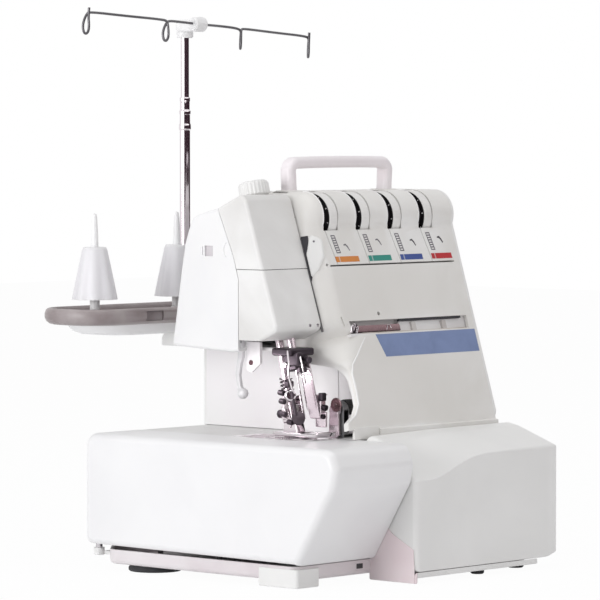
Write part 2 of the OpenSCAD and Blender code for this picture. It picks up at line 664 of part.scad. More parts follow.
// ---- Drive ----
module main_shaft() color("silver")
    cyl_x(stand_xs[0] - 8, body_x1 + wheel_w + 4, shaft_y, shaft_z, shaft_r);
module handwheel() color([0.92, 0.92, 0.92]) difference() {
    union() {
        cyl_x(body_x1 + 4, body_x1 + 4 + wheel_w, shaft_y, shaft_z, wheel_r - 1.5);
        for (a = [0:12:359]) translate([0, shaft_y, shaft_z]) rotate([a, 0, 0])
            translate([body_x1 + 6, 0, wheel_r - 2]) rotate([0, 90, 0]) cylinder(r = 2, h = wheel_w - 4);
    }
    cyl_x(body_x1, body_x1 + 40, shaft_y, shaft_z, shaft_r);
    tube_x(body_x1 + wheel_w - 4, body_x1 + wheel_w + 5, shaft_y, shaft_z, wheel_r - 7, shaft_r + 8);
}
module pulley(x, y, z, pitch, bore) {
    difference() {
        union() {
            cyl_x(x - belt_w / 2 - 0.4, x + belt_w / 2 + 0.4, y, z, pitch - 1.5);
            for (s = [-1, 1]) cyl_x(x + s * (belt_w / 2 + 1.4) - 1, x + s * (belt_w / 2 + 1.4) + 1,
                y, z, pitch + 1.5);
        }
        cyl_x(x - belt_w, x + belt_w, y, z, bore);
    }
}
module shaft_pulley() color([0.15, 0.15, 0.16]) pulley(belt_x, shaft_y, shaft_z, big_pulley_r, shaft_r);
module motor_pulley() color([0.6, 0.6, 0.62]) {
    pulley(belt_x, motor_y, motor_z, small_pulley_r, 3);
    cyl_x(motor_x1 - 8, belt_x + belt_w - 1, motor_y, motor_z, 3);
}
module belt_loop(grow) {
    hull() {
        translate([shaft_y, shaft_z]) circle(big_pulley_r + grow, $fn = 48);
        translate([motor_y, motor_z]) circle(small_pulley_r + grow, $fn = 48);
    }
}
module drive_belt() color([0.07, 0.07, 0.07]) along_x(belt_x - belt_w / 2, belt_x + belt_w / 2)
    difference() {
        belt_loop(1.2);
        belt_loop(-1.1);
    }
module motor() color([0.35, 0.36, 0.38]) {
    difference() {
        union() {
            cyl_x(motor_x1 - motor_len, motor_x1 - 4, motor_y, motor_z, motor_r);
            cyl_x(motor_x1 - 5, motor_x1 - 1, motor_y, motor_z, 9);
        }
        cyl_x(motor_x1 - 9, motor_x1 + 1, motor_y, motor_z, 3 + running);
    }
    box([motor_x1 - motor_len + 10, motor_y - 14, frame_z0 + frame_t],
        [motor_x1 - 14, motor_y + 14, motor_z - motor_r + 4]);
}
rock_r = 4;
module needle_rock_shaft() color("silver") {
    cyl_x(head_x0 + 12, stand_xs[1] - 20, rock_y, rock_z, rock_r);
    // arm that drives the needle bar, raised at rest
    cyl_x(needle_x - 9, needle_x - 6.2, rock_y, rock_z, 8);
    translate([needle_x - 9, rock_y, rock_z]) rotate([-rock_rest, 0, 0])
        translate([0, -rock_len, -3]) cube([2.8, rock_len, 6]);
}
rock_rest = 25;
rock_len = 30;

// ---- Needle ----
needle_bar_len = 108;
needle_bar_z = 58;              // bar's lower end above the bed, along the bar
module needle_bar() color("silver") on_bar(needle_x, needle_y)
    translate([0, 0, needle_bar_z]) cylinder(r = needle_bar_r, h = needle_bar_len);
module needle_clamp() color([0.2, 0.2, 0.22]) on_bar(needle_x, needle_y) difference() {
    union() {
        translate([-5.5, -5.5, needle_bar_z - 8]) cube([11, 11, 14]);
        translate([0, -5, needle_bar_z - 2]) rotate([90, 0, 0]) cylinder(r = 2.4, h = 5);
        translate([-5, 0, needle_bar_z - 3]) rotate([0, -90, 0]) cylinder(r = 2, h = 4);
    }
    translate([0, 0, needle_bar_z]) cylinder(r = needle_bar_r, h = 20);
    for (x = needle_offsets) translate([x, -2.6, needle_bar_z - 20]) cylinder(r = 1, h = 18);
}
needle_offsets = [-2.2, 2.2];
module needles() color("silver") on_bar(needle_x, needle_y) for (x = needle_offsets)
    translate([x, -2.6, 0]) {
        translate([0, 0, needle_bar_z - 12]) cylinder(r = 1, h = 10);
        translate([0, 0, needle_bar_z - 34]) cylinder(r = 0.55, h = 22);
        translate([0, 0, needle_bar_z - 38]) cylinder(r1 = 0.12, r2 = 0.55, h = 4);
    }

// ---- Presser ----
presser_top = (body_top_z - 2 - bed_z) / cos(bar_lean);
module presser_bar() color("silver") on_bar(presser_x, presser_y) {
    translate([0, 0, 16]) cylinder(r = presser_bar_r, h = presser_top - 36);
    difference() {
        translate([0, 0, presser_top - 32]) cylinder(r = presser_bar_r + 2.4, h = 4);
        translate([0, 0, presser_top - 33]) cylinder(r = presser_bar_r, h = 6);
    }
}
spring_r = presser_bar_r + 1.8;
module presser_spring() color([0.5, 0.5, 0.52]) on_bar(presser_x, presser_y)
    for (i = [0:5]) translate([0, 0, presser_top - 27 + i * 2.2])
        rotate_extrude() translate([spring_r, 0]) circle(0.8, $fn = 16);
module presser_foot() color([0.75, 0.76, 0.78]) {
    on_bar(presser_x, presser_y) difference() {
        translate([-5.5, -5, 12]) cube([11, 10.5, 12]);
        translate([0, 0, 16]) cylinder(r = presser_bar_r, h = 30);
    }
    difference() {
        union() {
            along_x(needle_x - 9, needle_x + 11) polygon([[needle_y - 20, bed_z + 6],
                [needle_y - 16, bed_z + 2], [needle_y + 24, bed_z + 2], [needle_y + 27, bed_z + 4],
                [needle_y + 24, bed_z + 4.5], [needle_y - 14, bed_z + 4.5]]);
            along_x(presser_x - 5, presser_x + 5) polygon([[presser_y - 6, bed_z + 4],
                [presser_y + 9, bed_z + 4], [presser_y + 8, bed_z + 13], [presser_y - 3, bed_z + 14]]);
        }
        box([needle_x - 5, needle_y - 5, bed_z], [needle_x + 5, needle_y + 7, bed_z + 6]);
    }
}
module pressure_knob() color([0.93, 0.93, 0.92]) on_bar(presser_x, presser_y) difference() {
    union() {
        translate([0, 0, presser_top - 1]) cylinder(r = 11, h = 10);
        for (a = [0:15:359]) rotate([0, 0, a]) translate([10.6, 0, presser_top])
            cylinder(r = 0.8, h = 8);
        translate([0, 0, presser_top - 12]) cylinder(r = 7.6, h = 12);
    }
    translate([0, 0, presser_top - 14]) cylinder(r = spring_r + 1.2, h = 14);
}
lifter_r = 3;
module lifter_lever() color([0.7, 0.7, 0.71]) {
    cyl_x(presser_x - 13, presser_x - 2, lifter_y + 12, lifter_z, lifter_r);
    along_x(presser_x - 6, presser_x - 2) polygon([[lifter_y + 10, lifter_z], [lifter_y + 14, lifter_z],
        [lifter_y + 22, lifter_z - 18], [lifter_y + 24, lifter_z - 38], [lifter_y + 20, lifter_z - 38],
        [lifter_y + 18, lifter_z - 20], [lifter_y + 10, lifter_z - 9]]);
    translate([presser_x - 4, lifter_y + 22, lifter_z - 40]) sphere(r = 4);
}

// ---- Loopers and knives ----
looper_y = -66;
looper_z = 44;
module looper(x, tip_dx, tip_y, tip_z) {
    difference() {
        union() {
            cyl_x(x - 5, x + 5, looper_y, looper_z, 8);
            along_x(x - 2, x + 2) polygon([[looper_y - 5, looper_z], [looper_y + 5, looper_z],
                [tip_y + 3, tip_z], [tip_y - 1, tip_z]]);
            box([min(x, x + tip_dx) - 2, tip_y - 1, tip_z - 4], [max(x, x + tip_dx) + 2, tip_y + 2.4, tip_z]);
            along_x(x + tip_dx - 1, x + tip_dx + 1) polygon([[tip_y - 1, tip_z - 4],
                [tip_y + 2.4, tip_z - 4], [tip_y + 1.2, tip_z + 6], [tip_y, tip_z + 8]]);
        }
        cyl_x(x - 6, x + 6, looper_y, looper_z, looper_rod_r + running);
    }
}
looper_rod_r = 3;
module upper_looper() color("silver") looper(-28, -10, looper_y - 4, bed_z - 17);
module lower_looper() color("silver") looper(-12, -4, looper_y - 4, bed_z - 32);

knife_x = plate_x1 + 1.6;
knife_y = -60;
knife_z = 120;
knob_r = 5.5;
module knife_bracket() color([0.93, 0.93, 0.92]) {
    difference() {
        union() {
            box([knife_x + 5, knife_y - 6, bed_z + fit], [knife_x + 11, knife_y + 6, knife_z]);
            cyl_x(knife_x + 5, knife_x + 11, knife_y, knife_z, 6);
            box([knife_x + 5, knife_y - 6, bed_z], [column_x0 - 4, knife_y + 6, bed_z + 3]);
        }
        cyl_x(knife_x, knife_x + 14, knife_y, knife_z, 2 + running);
    }
    // rod and stands that the loopers swing on
    cyl_x(-40, 2, looper_y, looper_z, looper_rod_r);
    for (x = [-42, 0]) box([x, looper_y - 7, frame_z0 + frame_t], [x + 4, looper_y + 7, looper_z + 7]);
    // plate that carries the width knob's spindle
    difference() {
        union() {
            box([width_x, width_y - 4, frame_z0 + frame_t], [width_x + 6, width_y + 5, width_z + 6]);
            box([width_x, width_y, frame_z0 + frame_t], [width_x + 6, looper_y, frame_z0 + frame_t + 5]);
        }
        cyl_x(width_x - 1, width_x + 7, width_y, width_z, width_r + running);
    }
}
module upper_knife() color([0.6, 0.6, 0.62]) {
    cyl_x(knife_x, knife_x + 5 - fit, knife_y, knife_z, 5.4);
    cyl_x(knife_x + 2, knife_x + 14, knife_y, knife_z, 2);
    along_x(knife_x + 1, knife_x + 3) polygon([[knife_y - 4, knife_z], [knife_y + 4, knife_z],
        [knife_y + 5, bed_z + 1], [knife_y + 1, bed_z - 3], [knife_y - 5, bed_z + 2]]);
    color([0.08, 0.07, 0.08]) cyl_x(knife_x + 11 + fit, knife_x + 22, knife_y, knife_z, knob_r);
}
module lower_knife() color([0.6, 0.6, 0.62])
    box([knife_x - 1.4, knife_y - 4, bed_z - 16], [knife_x + 0.6, knife_y + 8, bed_z]);

// ---- Thread tension ----
module tension_dial(i) color([0.94, 0.94, 0.93]) difference() {
    union() {
        cyl_x(dial_left(i), dial_left(i) + dial_w, dial_y, dial_z, dial_r - 0.7);
        for (a = [0:8:359]) translate([dial_left(i) + 1, dial_y, dial_z]) rotate([a, 0, 0])
            translate([0, 0, dial_r - 0.8]) rotate([0, 90, 0]) cylinder(r = 0.8, h = dial_w - 2, $fn = 16);
    }
    cyl_x(dial_left(i) - 1, dial_left(i) + dial_w + 1, dial_y, dial_z, post_r + running);
}
post_r = 3;
module tension_dial_1() tension_dial(0);
module tension_dial_2() tension_dial(1);
module tension_dial_3() tension_dial(2);
module tension_dial_4() tension_dial(3);
module tension_discs() color("silver") for (i = [0:3], k = [0:1])
    tube_x(dial_left(i) - 1.5 + k * 0.75, dial_left(i) - 1 + k * 0.75, dial_y, dial_z, 10, post_r + running);
module tension_posts() color([0.6, 0.6, 0.62]) {
    for (i = [0:3]) cyl_x(dial_left(i) - 8, dial_left(i) + dial_w + 4, dial_y, dial_z, post_r);
    for (i = [0:3]) box([dial_left(i) - 9, dial_y - 5, dial_z - 5], [dial_left(i) - 7, column_top_y + 3, dial_z + 5]);
    box([dial_left(0) - 9, column_top_y + 1, arm_z1], [dial_left(3) + 4, column_top_y + 3, dial_z + 6]);
    box([column_x0 + 8, column_top_y + 1, arm_z1], [column_x0 + 28, column_top_y + 14, arm_z1 + 2]);
}
module thread_guides() color([0.55, 0.42, 0.4]) {
    y = panel_y(guide_z) + 4;
    floor_z = guide_z - 12 + wall;
    cyl_x(guide_x0 + 1, guide_x1 - 2, y, floor_z + 4, 2.2);
    for (x = [guide_x0 + 2, guide_x1 - 6]) box([x, y - 2, floor_z], [x + 3, y + 3, floor_z + 5]);
    for (k = [0:3]) cyl_x(guide_x0 + 8 + k * 12, guide_x0 + 10 + k * 12, y, floor_z + 4, 3.2);
}

// ---- Settings on the right cover ----
module stitch_length_dial() color([0.92, 0.92, 0.92]) {
    cyl_x(body_x1 + fit, body_x1 + 12, length_y, length_z, 17);
    for (a = [0:15:359]) translate([0, length_y, length_z]) rotate([a, 0, 0])
        translate([body_x1 + 1, 0, 16.6]) rotate([0, 90, 0]) cylinder(r = 1.2, h = 10, $fn = 16);
    cyl_x(right_x0 - 7, body_x1 + 2, length_y, length_z, 3.4);
}
module differential_lever() color([0.92, 0.92, 0.92]) {
    box([right_x0 - 10, lever_y - 2, lever_z - 6], [body_x1 + 6, lever_y + 2, lever_z + 6]);
    box([body_x1 + 4, lever_y - 5, lever_z - 9], [body_x1 + 9, lever_y + 5, lever_z + 9]);
}
width_x = -34;
width_z = 66;
width_y = -92;
width_r = 2.5;
module stitch_width_knob() color([0.15, 0.15, 0.16]) {
    cyl_x(width_x + 12, width_x + 24, width_y, width_z, 8);
    cyl_x(width_x - 1, width_x + 13, width_y, width_z, width_r);
}
module power_switch() color([0.1, 0.1, 0.1]) difference() {
    intersection() {
        box([right_x0 - 6, switch_y - 7, switch_z - 12], [body_x1 + 2.5, switch_y + 7, switch_z + 12]);
        translate([right_x0, switch_y - 8, switch_z]) rotate([-90, 0, 0]) cylinder(r = 10.7, h = 16);
    }
    translate([body_x1 + 9, switch_y - 8, switch_z]) rotate([-90, 0, 0]) cylinder(r = 8, h = 16);
}
module power_inlet() color([0.1, 0.1, 0.1]) difference() {
    box([right_x0 - 7, switch_y - 13.5, inlet_z - 9.5], [body_x1 + 0.5, switch_y + 13.5, inlet_z + 9.5]);
    box([right_x0 - 4, switch_y - 11, inlet_z - 7], [body_x1 + 1, switch_y + 11, inlet_z + 7]);
}
module work_lamp() color([0.95, 0.93, 0.8])
    cyl_x(head_x0 + 6, needle_x - 9, -38, 186, 5);

// ---- Thread stand ----
module spool_tray() color([0.66, 0.61, 0.61]) {
    difference() {
        slab([-tray_half, tray_y0], [tray_half, tray_y1], tray_z0, tray_z1, 30);
        slab([-tray_half + wall, tray_y0 + wall], [tray_half - wall, tray_y1 - wall],
            tray_z0 + wall + 3, tray_z1 + 1, 28);
        for (i = [0:3]) translate([pin_at(i), pin_y, tray_z0 + 2]) cylinder(r = pin_base_r, h = 30);
        translate([0, mast_y, tray_z0 - 1]) cylinder(r = mast_r, h = 30);
        for (x = [-20, 20]) translate([x, 82, tray_z0 - 1]) cylinder(r = 2.2, h = 20);
    }
    // under-tray rib and the legs that stand on the shelf
    slab([-tray_half + 22, tray_y0 + 8], [tray_half - 22, tray_y1 - 10], shelf_z + 8.3, tray_z0, 20);
}
pin_base_r = 5;
function pin_at(i) = (i - 1.5) * pin_pitch;
cone_z0 = tray_z1 + 8;
cone_h = 38;
cone_seat_z = cone_z0 + cone_h - 3;
module spool_pins() color([0.93, 0.93, 0.93]) for (i = [0:3]) translate([pin_at(i), pin_y, 0]) {
    translate([0, 0, tray_z0 + 2]) cylinder(r = pin_base_r, h = 8);
    translate([0, 0, tray_z0 + 6]) cylinder(r = 3.6, h = cone_seat_z - tray_z0 - 6);
    translate([0, 0, cone_seat_z - 1]) cylinder(r = 2.9, h = 4);
    translate([0, 0, cone_seat_z + 3]) cylinder(r1 = 2.9, r2 = 1.2, h = pin_top_z - cone_seat_z - 3);
}
module cone_holders() color([0.9, 0.89, 0.92, 0.8]) for (i = [0:3])
    translate([pin_at(i), pin_y, cone_z0]) difference() {
        union() {
            cylinder(r1 = cone_foot_r, r2 = cone_top_r, h = cone_h);
        }
        translate([0, 0, -1]) cylinder(r1 = cone_foot_r - 1.2, r2 = cone_top_r - 1.2, h = cone_h - 2);
        translate([0, 0, -1]) cylinder(r = 3.1, h = cone_h + 2);
    }
module mast_tube() color([0.8, 0.8, 0.82]) translate([0, mast_y, 0]) difference() {
    union() {
        translate([0, 0, tray_z0]) cylinder(r = mast_r, h = mast_joint_z - tray_z0);
        translate([0, 0, tray_z0 + wall + 3]) cylinder(r = mast_r + 2.4, h = 16);
        translate([0, 0, mast_joint_z - 14]) cylinder(r = mast_r + 0.6, h = 4);
        translate([0, 0, mast_joint_z - 3]) cylinder(r = mast_r + 0.6, h = 3);
    }
    translate([0, 0, tray_z0 + 3]) cylinder(r = slide_r + running, h = mast_joint_z);
}
slide_r = mast_r - 0.8;
module mast_slide() color([0.85, 0.85, 0.87]) translate([0, mast_y, mast_joint_z - 24])
    cylinder(r = slide_r, h = mast_top_z - mast_joint_z + 30);
module guide_head() color([0.93, 0.93, 0.92]) translate([0, mast_y, 0]) rotate([0, 0, guide_yaw]) {
    difference() {
        union() {
            translate([0, 0, mast_top_z - 4]) cylinder(r = slide_r + 3, h = 13);
            translate([-5, -wire_reach - 3, wire_z - 6]) cube([10, wire_reach + 8, 10]);
        }
        translate([0, 0, mast_top_z - 10]) cylinder(r = slide_r, h = 16);
    }
    translate([0, -wire_reach, 0]) cyl_x(4, 12, 0, wire_z, 5.4);
    color([0.5, 0.5, 0.52]) translate([0, -wire_reach, wire_z]) rotate([0, guide_roll, 0]) {
        cyl_x(-guide_span / 2, guide_span / 2, 0, 0, wire_r);
        for (s = [-1, 1], k = [1 / 3, 1]) translate([s * guide_span / 2 * k, 0, -loop_drop]) {
            rotate([90, 0, s * 45]) rotate_extrude() translate([loop_r, 0]) circle(wire_r, $fn = 16);
            translate([0, 0, loop_r]) cylinder(r = wire_r, h = loop_drop - loop_r);
        }
    }
}
wire_z = mast_top_z + 9;
wire_r = 0.9;
loop_r = 2.6;
loop_drop = 12.5;
wire_reach = 16;

base_pan();
rubber_feet();
main_frame();
front_cover();
rear_cover();
right_cover();
throat_cover();
bed_cover();
head_cover();
face_upper_cover();
face_lower_cover();
cloth_plate();
plate_hinge_pin();
looper_cover();
looper_cover_rod();
needle_plate();
carrying_handle();
main_shaft();
bushes();
handwheel();
shaft_pulley();
drive_belt();
motor();
motor_pulley();
needle_rock_shaft();
needle_bar();
needle_clamp();
needles();
presser_bar();
presser_spring();
presser_foot();
lifter_lever();
pressure_knob();
upper_looper();
lower_looper();
knife_bracket();
upper_knife();
lower_knife();
main_feed_dog();
differential_feed_dog();
tension_dial_1();
tension_dial_2();
tension_dial_3();
tension_dial_4();
tension_discs();
tension_posts();
thread_guides();
stitch_length_dial();
differential_lever();
stitch_width_knob();
power_switch();
power_inlet();
work_lamp();
spool_tray();
spool_pins();
cone_holders();
mast_tube();
mast_slide();
guide_head();
cover_screws();
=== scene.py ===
"""Looks of a table-top overlock sewing machine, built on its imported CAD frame.

Each sub-assembly is a class that holds its sizes in millimetres, builds its meshes and dresses
them. X runs to the handwheel side, Y to the back and Z up, as in the frame.
"""

import logging
from dataclasses import dataclass, field, replace
from enum import Enum
from math import cos, inf, pi, radians, sin, tan
from typing import Callable, Sequence

import bmesh
import bpy
from mathutils import Matrix, Vector

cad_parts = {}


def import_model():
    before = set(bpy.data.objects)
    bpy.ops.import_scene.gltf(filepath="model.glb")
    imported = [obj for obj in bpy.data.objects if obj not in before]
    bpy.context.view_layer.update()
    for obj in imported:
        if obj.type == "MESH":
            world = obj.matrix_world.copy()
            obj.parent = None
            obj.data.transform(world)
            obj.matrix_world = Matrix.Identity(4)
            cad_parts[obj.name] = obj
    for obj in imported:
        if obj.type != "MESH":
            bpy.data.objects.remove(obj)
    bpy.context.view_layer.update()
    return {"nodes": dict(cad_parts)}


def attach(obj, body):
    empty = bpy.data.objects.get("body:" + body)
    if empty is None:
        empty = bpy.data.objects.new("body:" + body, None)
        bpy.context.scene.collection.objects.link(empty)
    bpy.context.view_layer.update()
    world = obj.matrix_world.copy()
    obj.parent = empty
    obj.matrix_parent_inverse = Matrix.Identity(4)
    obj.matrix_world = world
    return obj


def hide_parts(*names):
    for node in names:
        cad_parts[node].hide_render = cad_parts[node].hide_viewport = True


Flat = tuple[float, float]
Spot = tuple[float, float, float]
Colour = tuple[float, float, float]

LOG = logging.getLogger("overlock")
MM = 0.001

# Lengths are in millimetres and angles in radians.
RIGHT_ANGLE = pi / 2
LEAST_RADIUS = 0.15
LEAST_FACE = 1e-7
SAME_SPOT = 2e-4
SOFT_EDGE = radians(35)
NEARLY_STRAIGHT = 3.1

BAR_LEAN = radians(13)
BAR_UP = Vector((0, sin(BAR_LEAN), cos(BAR_LEAN)))
PRESSER_FOOT = Vector((-61, -38, 100))
COVER_HINGE: Flat = (-133, 15.5)
PLATE_HINGE: Spot = (-121, 103, 0)


def up_presser(reach: float) -> Spot:
    """A spot on the leaning presser bar, at a distance from its foot on the bed."""
    return tuple(PRESSER_FOOT + BAR_UP * reach)


def add_object(name: str, data: bpy.types.ID) -> bpy.types.Object:
    """Makes an object of some data and puts it into the scene."""
    made = bpy.data.objects.new(name, data)
    bpy.context.scene.collection.objects.link(made)
    return made


class Axis(Enum):
    """The direction that a flat outline is extruded along, and where its two numbers go."""

    X = 0
    Y = 1
    Z = 2

    def spot(self, a: float, b: float, along: float) -> Spot:
        """Puts an outline point (a, b) at a distance along this axis."""
        if self is Axis.X:
            return (along, a, b)
        if self is Axis.Y:
            return (a, along, b)
        return (a, b, along)

    def vector(self) -> Vector:
        """The axis as a unit vector."""
        return Vector([1 if i == self.value else 0 for i in range(3)])


@dataclass(frozen=True)
class Outline:
    """A closed flat outline of corners, each (a, b, radius)."""

    corners: tuple[tuple[float, float, float], ...]
    steps: int = 6

    def turn(self) -> float:
        """1 when the corners run anticlockwise, otherwise -1."""
        area = 0
        for (a, b, _), (c, d, _) in zip(self.corners, self.corners[1:] + self.corners[:1]):
            area += a * d - c * b
        return 1 if area > 0 else -1

    def inset(self, depth: float) -> "Outline":
        """Moves every side inwards.

        Args:
            depth: how far, in millimetres; below zero moves outwards.

        Returns:
            The new outline, with as many points as this one.
        """
        sign, count, moved = self.turn(), len(self.corners), []
        for i, (a, b, radius) in enumerate(self.corners):
            before, after = self.corners[i - 1], self.corners[(i + 1) % count]
            enter = Vector((a - before[0], b - before[1])).normalized()
            leave = Vector((after[0] - a, after[1] - b)).normalized()
            n_in = Vector((-enter.y, enter.x)) * sign
            n_out = Vector((-leave.y, leave.x)) * sign
            half = n_in + n_out
            half = half * (depth / max(0.2, 1 + n_in.dot(n_out)))
            hollow = (enter.x * leave.y - enter.y * leave.x) * sign < 0
            left = max(LEAST_RADIUS, radius + (depth if hollow else -depth))
            moved.append((a + half.x, b + half.y, left))
        return replace(self, corners=tuple(moved))

    def points(self) -> list[Flat]:
        """The outline with each corner rounded into steps + 1 points."""
        count, out = len(self.corners), []
        for i, (a, b, radius) in enumerate(self.corners):
            here = Vector((a, b))
            back = Vector(self.corners[i - 1][:2]) - here
            ahead = Vector(self.corners[(i + 1) % count][:2]) - here
            angle = max(0.05, back.angle(ahead, pi))
            reach = radius / tan(angle / 2)
            reach = min(reach, 0.49 * back.length, 0.49 * ahead.length)
            real = reach * tan(angle / 2)
            start, end = here + back.normalized() * reach, here + ahead.normalized() * reach
            middle = here + (back.normalized() + ahead.normalized()).normalized() * (
                real / sin(angle / 2) if angle < NEARLY_STRAIGHT else 0)
            for k in range(self.steps + 1):
                t = k / self.steps
                if angle >= NEARLY_STRAIGHT:
                    spot = start.lerp(end, t)
                else:
                    from_start, from_end = start - middle, end - middle
                    sweep = from_start.angle(from_end)
                    spot = middle + (from_start * sin((1 - t) * sweep)
                                     + from_end * sin(t * sweep)) / sin(sweep)
                out.append((spot.x, spot.y))
        return out


def rounded_rect(lo: Flat, hi: Flat, radius: float, steps: int = 6) -> Outline:
    """A rectangle with four equal corners, anticlockwise."""
    return Outline(((lo[0], lo[1], radius), (hi[0], lo[1], radius), (hi[0], hi[1], radius),
                    (lo[0], hi[1], radius)), steps)


def arc(centre: Flat, radius: float, start: float, end: float, steps: int) -> list[Flat]:
    """Points of an arc between two angles in degrees."""
    turns = [radians(start + (end - start) * k / steps) for k in range(steps + 1)]
    return [(centre[0] + radius * cos(t), centre[1] + radius * sin(t)) for t in turns]



def rounded(path: Sequence[Spot], rounds: int = 2) -> list[Spot]:
    """Rounds a path by cutting its corners."""
    spots = [Vector(p) for p in path]
    for _ in range(rounds):
        cut = [spots[0]]
        for a, b in zip(spots, spots[1:]):
            cut += [a.lerp(b, 0.25), a.lerp(b, 0.75)]
        spots = cut + [spots[-1]]
    return [tuple(p) for p in spots]


def ribs(depth: float, count: int, lo: float = -inf, hi: float = inf) -> Callable[[float, float], float]:
    """The wobble of a lathe that has equal ribs between two heights."""
    return lambda turn, height: depth * cos(count * turn) if lo < height < hi else 0.0


def blend_in(value: float, table: Sequence[Flat]) -> float:
    """Reads a value from a table of (key, value) rows, with a straight line between the rows."""
    if value <= table[0][0]:
        return table[0][1]
    for (k0, v0), (k1, v1) in zip(table, table[1:]):
        if value <= k1:
            return v0 + (v1 - v0) * (value - k0) / (k1 - k0)
    return table[-1][1]


class Form:
    """A mesh in the making. Its sizes are millimetres until it is made into an object."""

    def __init__(self) -> None:
        """Starts with an empty mesh."""
        self.mesh = bmesh.new()

    def loft(self, rings: Sequence[Sequence[Spot]], closed: bool = True,
             caps: tuple[bool, bool] = (True, True)) -> "Form":
        """Skins a row of rings that all have the same number of points.

        Args:
            rings: the rings, each a list of spots.
            closed: whether each ring runs round to its own start.
            caps: whether the first and the last ring are filled.

        Returns:
            This form.
        """
        made = [[self.mesh.verts.new(spot) for spot in ring] for ring in rings]
        count = len(made[0])
        for low, high in zip(made, made[1:]):
            for i in range(count if closed else count - 1):
                j = (i + 1) % count
                self.mesh.faces.new((low[i], low[j], high[j], high[i]))
        for wanted, ring in zip(caps, (made[0][::-1], made[-1])):
            if wanted:
                self.mesh.faces.new(ring)
        return self

    def prism(self, outline: Outline, axis: Axis, lo: float, hi: float,
              round_lo: float = 0.0, round_hi: float = 0.0, steps: int = 4) -> "Form":
        """Extrudes an outline and rounds the edges of its two ends."""
        rings = []
        for k in range(steps + 1 if round_lo else 1):
            t = RIGHT_ANGLE * k / steps if round_lo else pi / 2
            cut = round_lo * (1 - sin(t))
            rings.append([axis.spot(a, b, lo + round_lo * (1 - cos(t)))
                          for a, b in outline.inset(cut).points()])
        for k in range(steps + 1 if round_hi else 1):
            t = RIGHT_ANGLE * k / steps if round_hi else 0
            cut = round_hi * (1 - cos(t))
            rings.append([axis.spot(a, b, hi - round_hi * (1 - sin(t)))
                          for a, b in outline.inset(cut).points()])
        return self.loft(rings)

    def lathe(self, profile: Sequence[Flat], base: Spot, axis: Axis | Vector, steps: int = 40,
              wobble: Callable[[float, float], float] | None = None) -> "Form":
        """Turns a profile of (radius, height) points about an axis.

        Args:
            profile: from the first end to the other; a radius of 0 closes it to a point.
            base: where height 0 is.
            axis: the direction of the heights.
            steps: points round the axis.
            wobble: an extra radius for an angle and a height, for ribs and pleats.

        Returns:
            This form.
        """
        up = (axis.vector() if isinstance(axis, Axis) else axis).normalized()
        side = up.orthogonal().normalized()
        across = up.cross(side)
        rings = []
        for radius, height in profile:
            ring = []
            for k in range(steps):
                turn = 2 * pi * k / steps
                reach = max(1e-3, radius + (wobble(turn, height) if wobble and radius > 0.3 else 0))
                ring.append(tuple(Vector(base) + up * height
                                  + (side * cos(turn) + across * sin(turn)) * reach))
            rings.append(ring)
        return self.loft(rings)

    def rod(self, start: Spot, end: Spot, radius: float, round_ends: float = 0.0,
            steps: int = 20) -> "Form":
        """A round rod between two spots."""
        line = Vector(end) - Vector(start)
        length, r = line.length, min(round_ends, radius * 0.98, line.length / 2.01)
        rows = [(radius - r * (1 - sin(pi / 6 * k)), r * (1 - cos(pi / 6 * k)))
                for k in range(4)] if r else [(radius, 0)]
        rows += [(a, length - b) for a, b in rows[::-1]]
        return self.lathe(rows, start, line, steps)

    def tube(self, path: Sequence[Spot], radius: float | Sequence[float], sides: int = 10) -> "Form":
        """A bent wire along a path."""
        spots = [Vector(p) for p in path]
        heads = [(after - before).normalized()
                 for before, after in zip(spots[:1] + spots, spots[1:] + spots[-1:])]
        side = heads[0].orthogonal().normalized()
        rings = []
        for i, (spot, head) in enumerate(zip(spots, heads)):
            side = (side - head * side.dot(head)).normalized()
            across = head.cross(side)
            r = radius if isinstance(radius, (int, float)) else radius[i]
            turns = [2 * pi * k / sides for k in range(sides)]
            rings.append([tuple(spot + (side * cos(t) + across * sin(t)) * r) for t in turns])
        return self.loft(rings)

    def box(self, lo: Spot, hi: Spot, radius: float = 0.0) -> "Form":
        """A block; with a radius, all its edges are rounded."""
        part = Form()
        part.loft([[(lo[0], lo[1], z), (hi[0], lo[1], z), (hi[0], hi[1], z), (lo[0], hi[1], z)]
                   for z in (lo[2], hi[2])])
        if radius:
            part.bevel(radius, 3)
        return self.join(part)

    def bevel(self, width: float, segments: int = 3, sharp: float = 28.0) -> "Form":
        """Rounds the edges that are sharper than an angle in degrees."""
        bmesh.ops.remove_doubles(self.mesh, verts=self.mesh.verts, dist=1e-4)
        bmesh.ops.recalc_face_normals(self.mesh, faces=self.mesh.faces)
        edges = [e for e in self.mesh.edges if len(e.link_faces) == 2
                 and e.calc_face_angle(0) > radians(sharp)]
        bmesh.ops.bevel(self.mesh, geom=edges, offset=width, segments=segments, profile=0.5,
                        affect="EDGES", clamp_overlap=True)
        return self

    def join(self, other: "Form", matrix: Matrix | None = None) -> "Form":
        """Adds a copy of another form's mesh to this one."""
        made = {v: self.mesh.verts.new(matrix @ v.co if matrix else v.co) for v in other.mesh.verts}
        for face in other.mesh.faces:
            self.mesh.faces.new([made[v] for v in face.verts])
        return self

    def data(self, name: str, scale: float = 1.0) -> bpy.types.Mesh:
        """Writes the mesh out as Blender mesh data."""
        data = bpy.data.meshes.new(name)
        bmesh.ops.recalc_face_normals(self.mesh, faces=self.mesh.faces)
        if scale != 1:
            bmesh.ops.scale(self.mesh, vec=(scale,) * 3, verts=self.mesh.verts)
        self.mesh.to_mesh(data)
        return data

    def along_x(self, flat: Sequence[Flat], x0: float, x1: float) -> "Form":
        """Extrudes a flat shape of (y, z) points from one x to another."""
        return self.loft([[(x, y, z) for y, z in flat] for x in (x0, x1)])

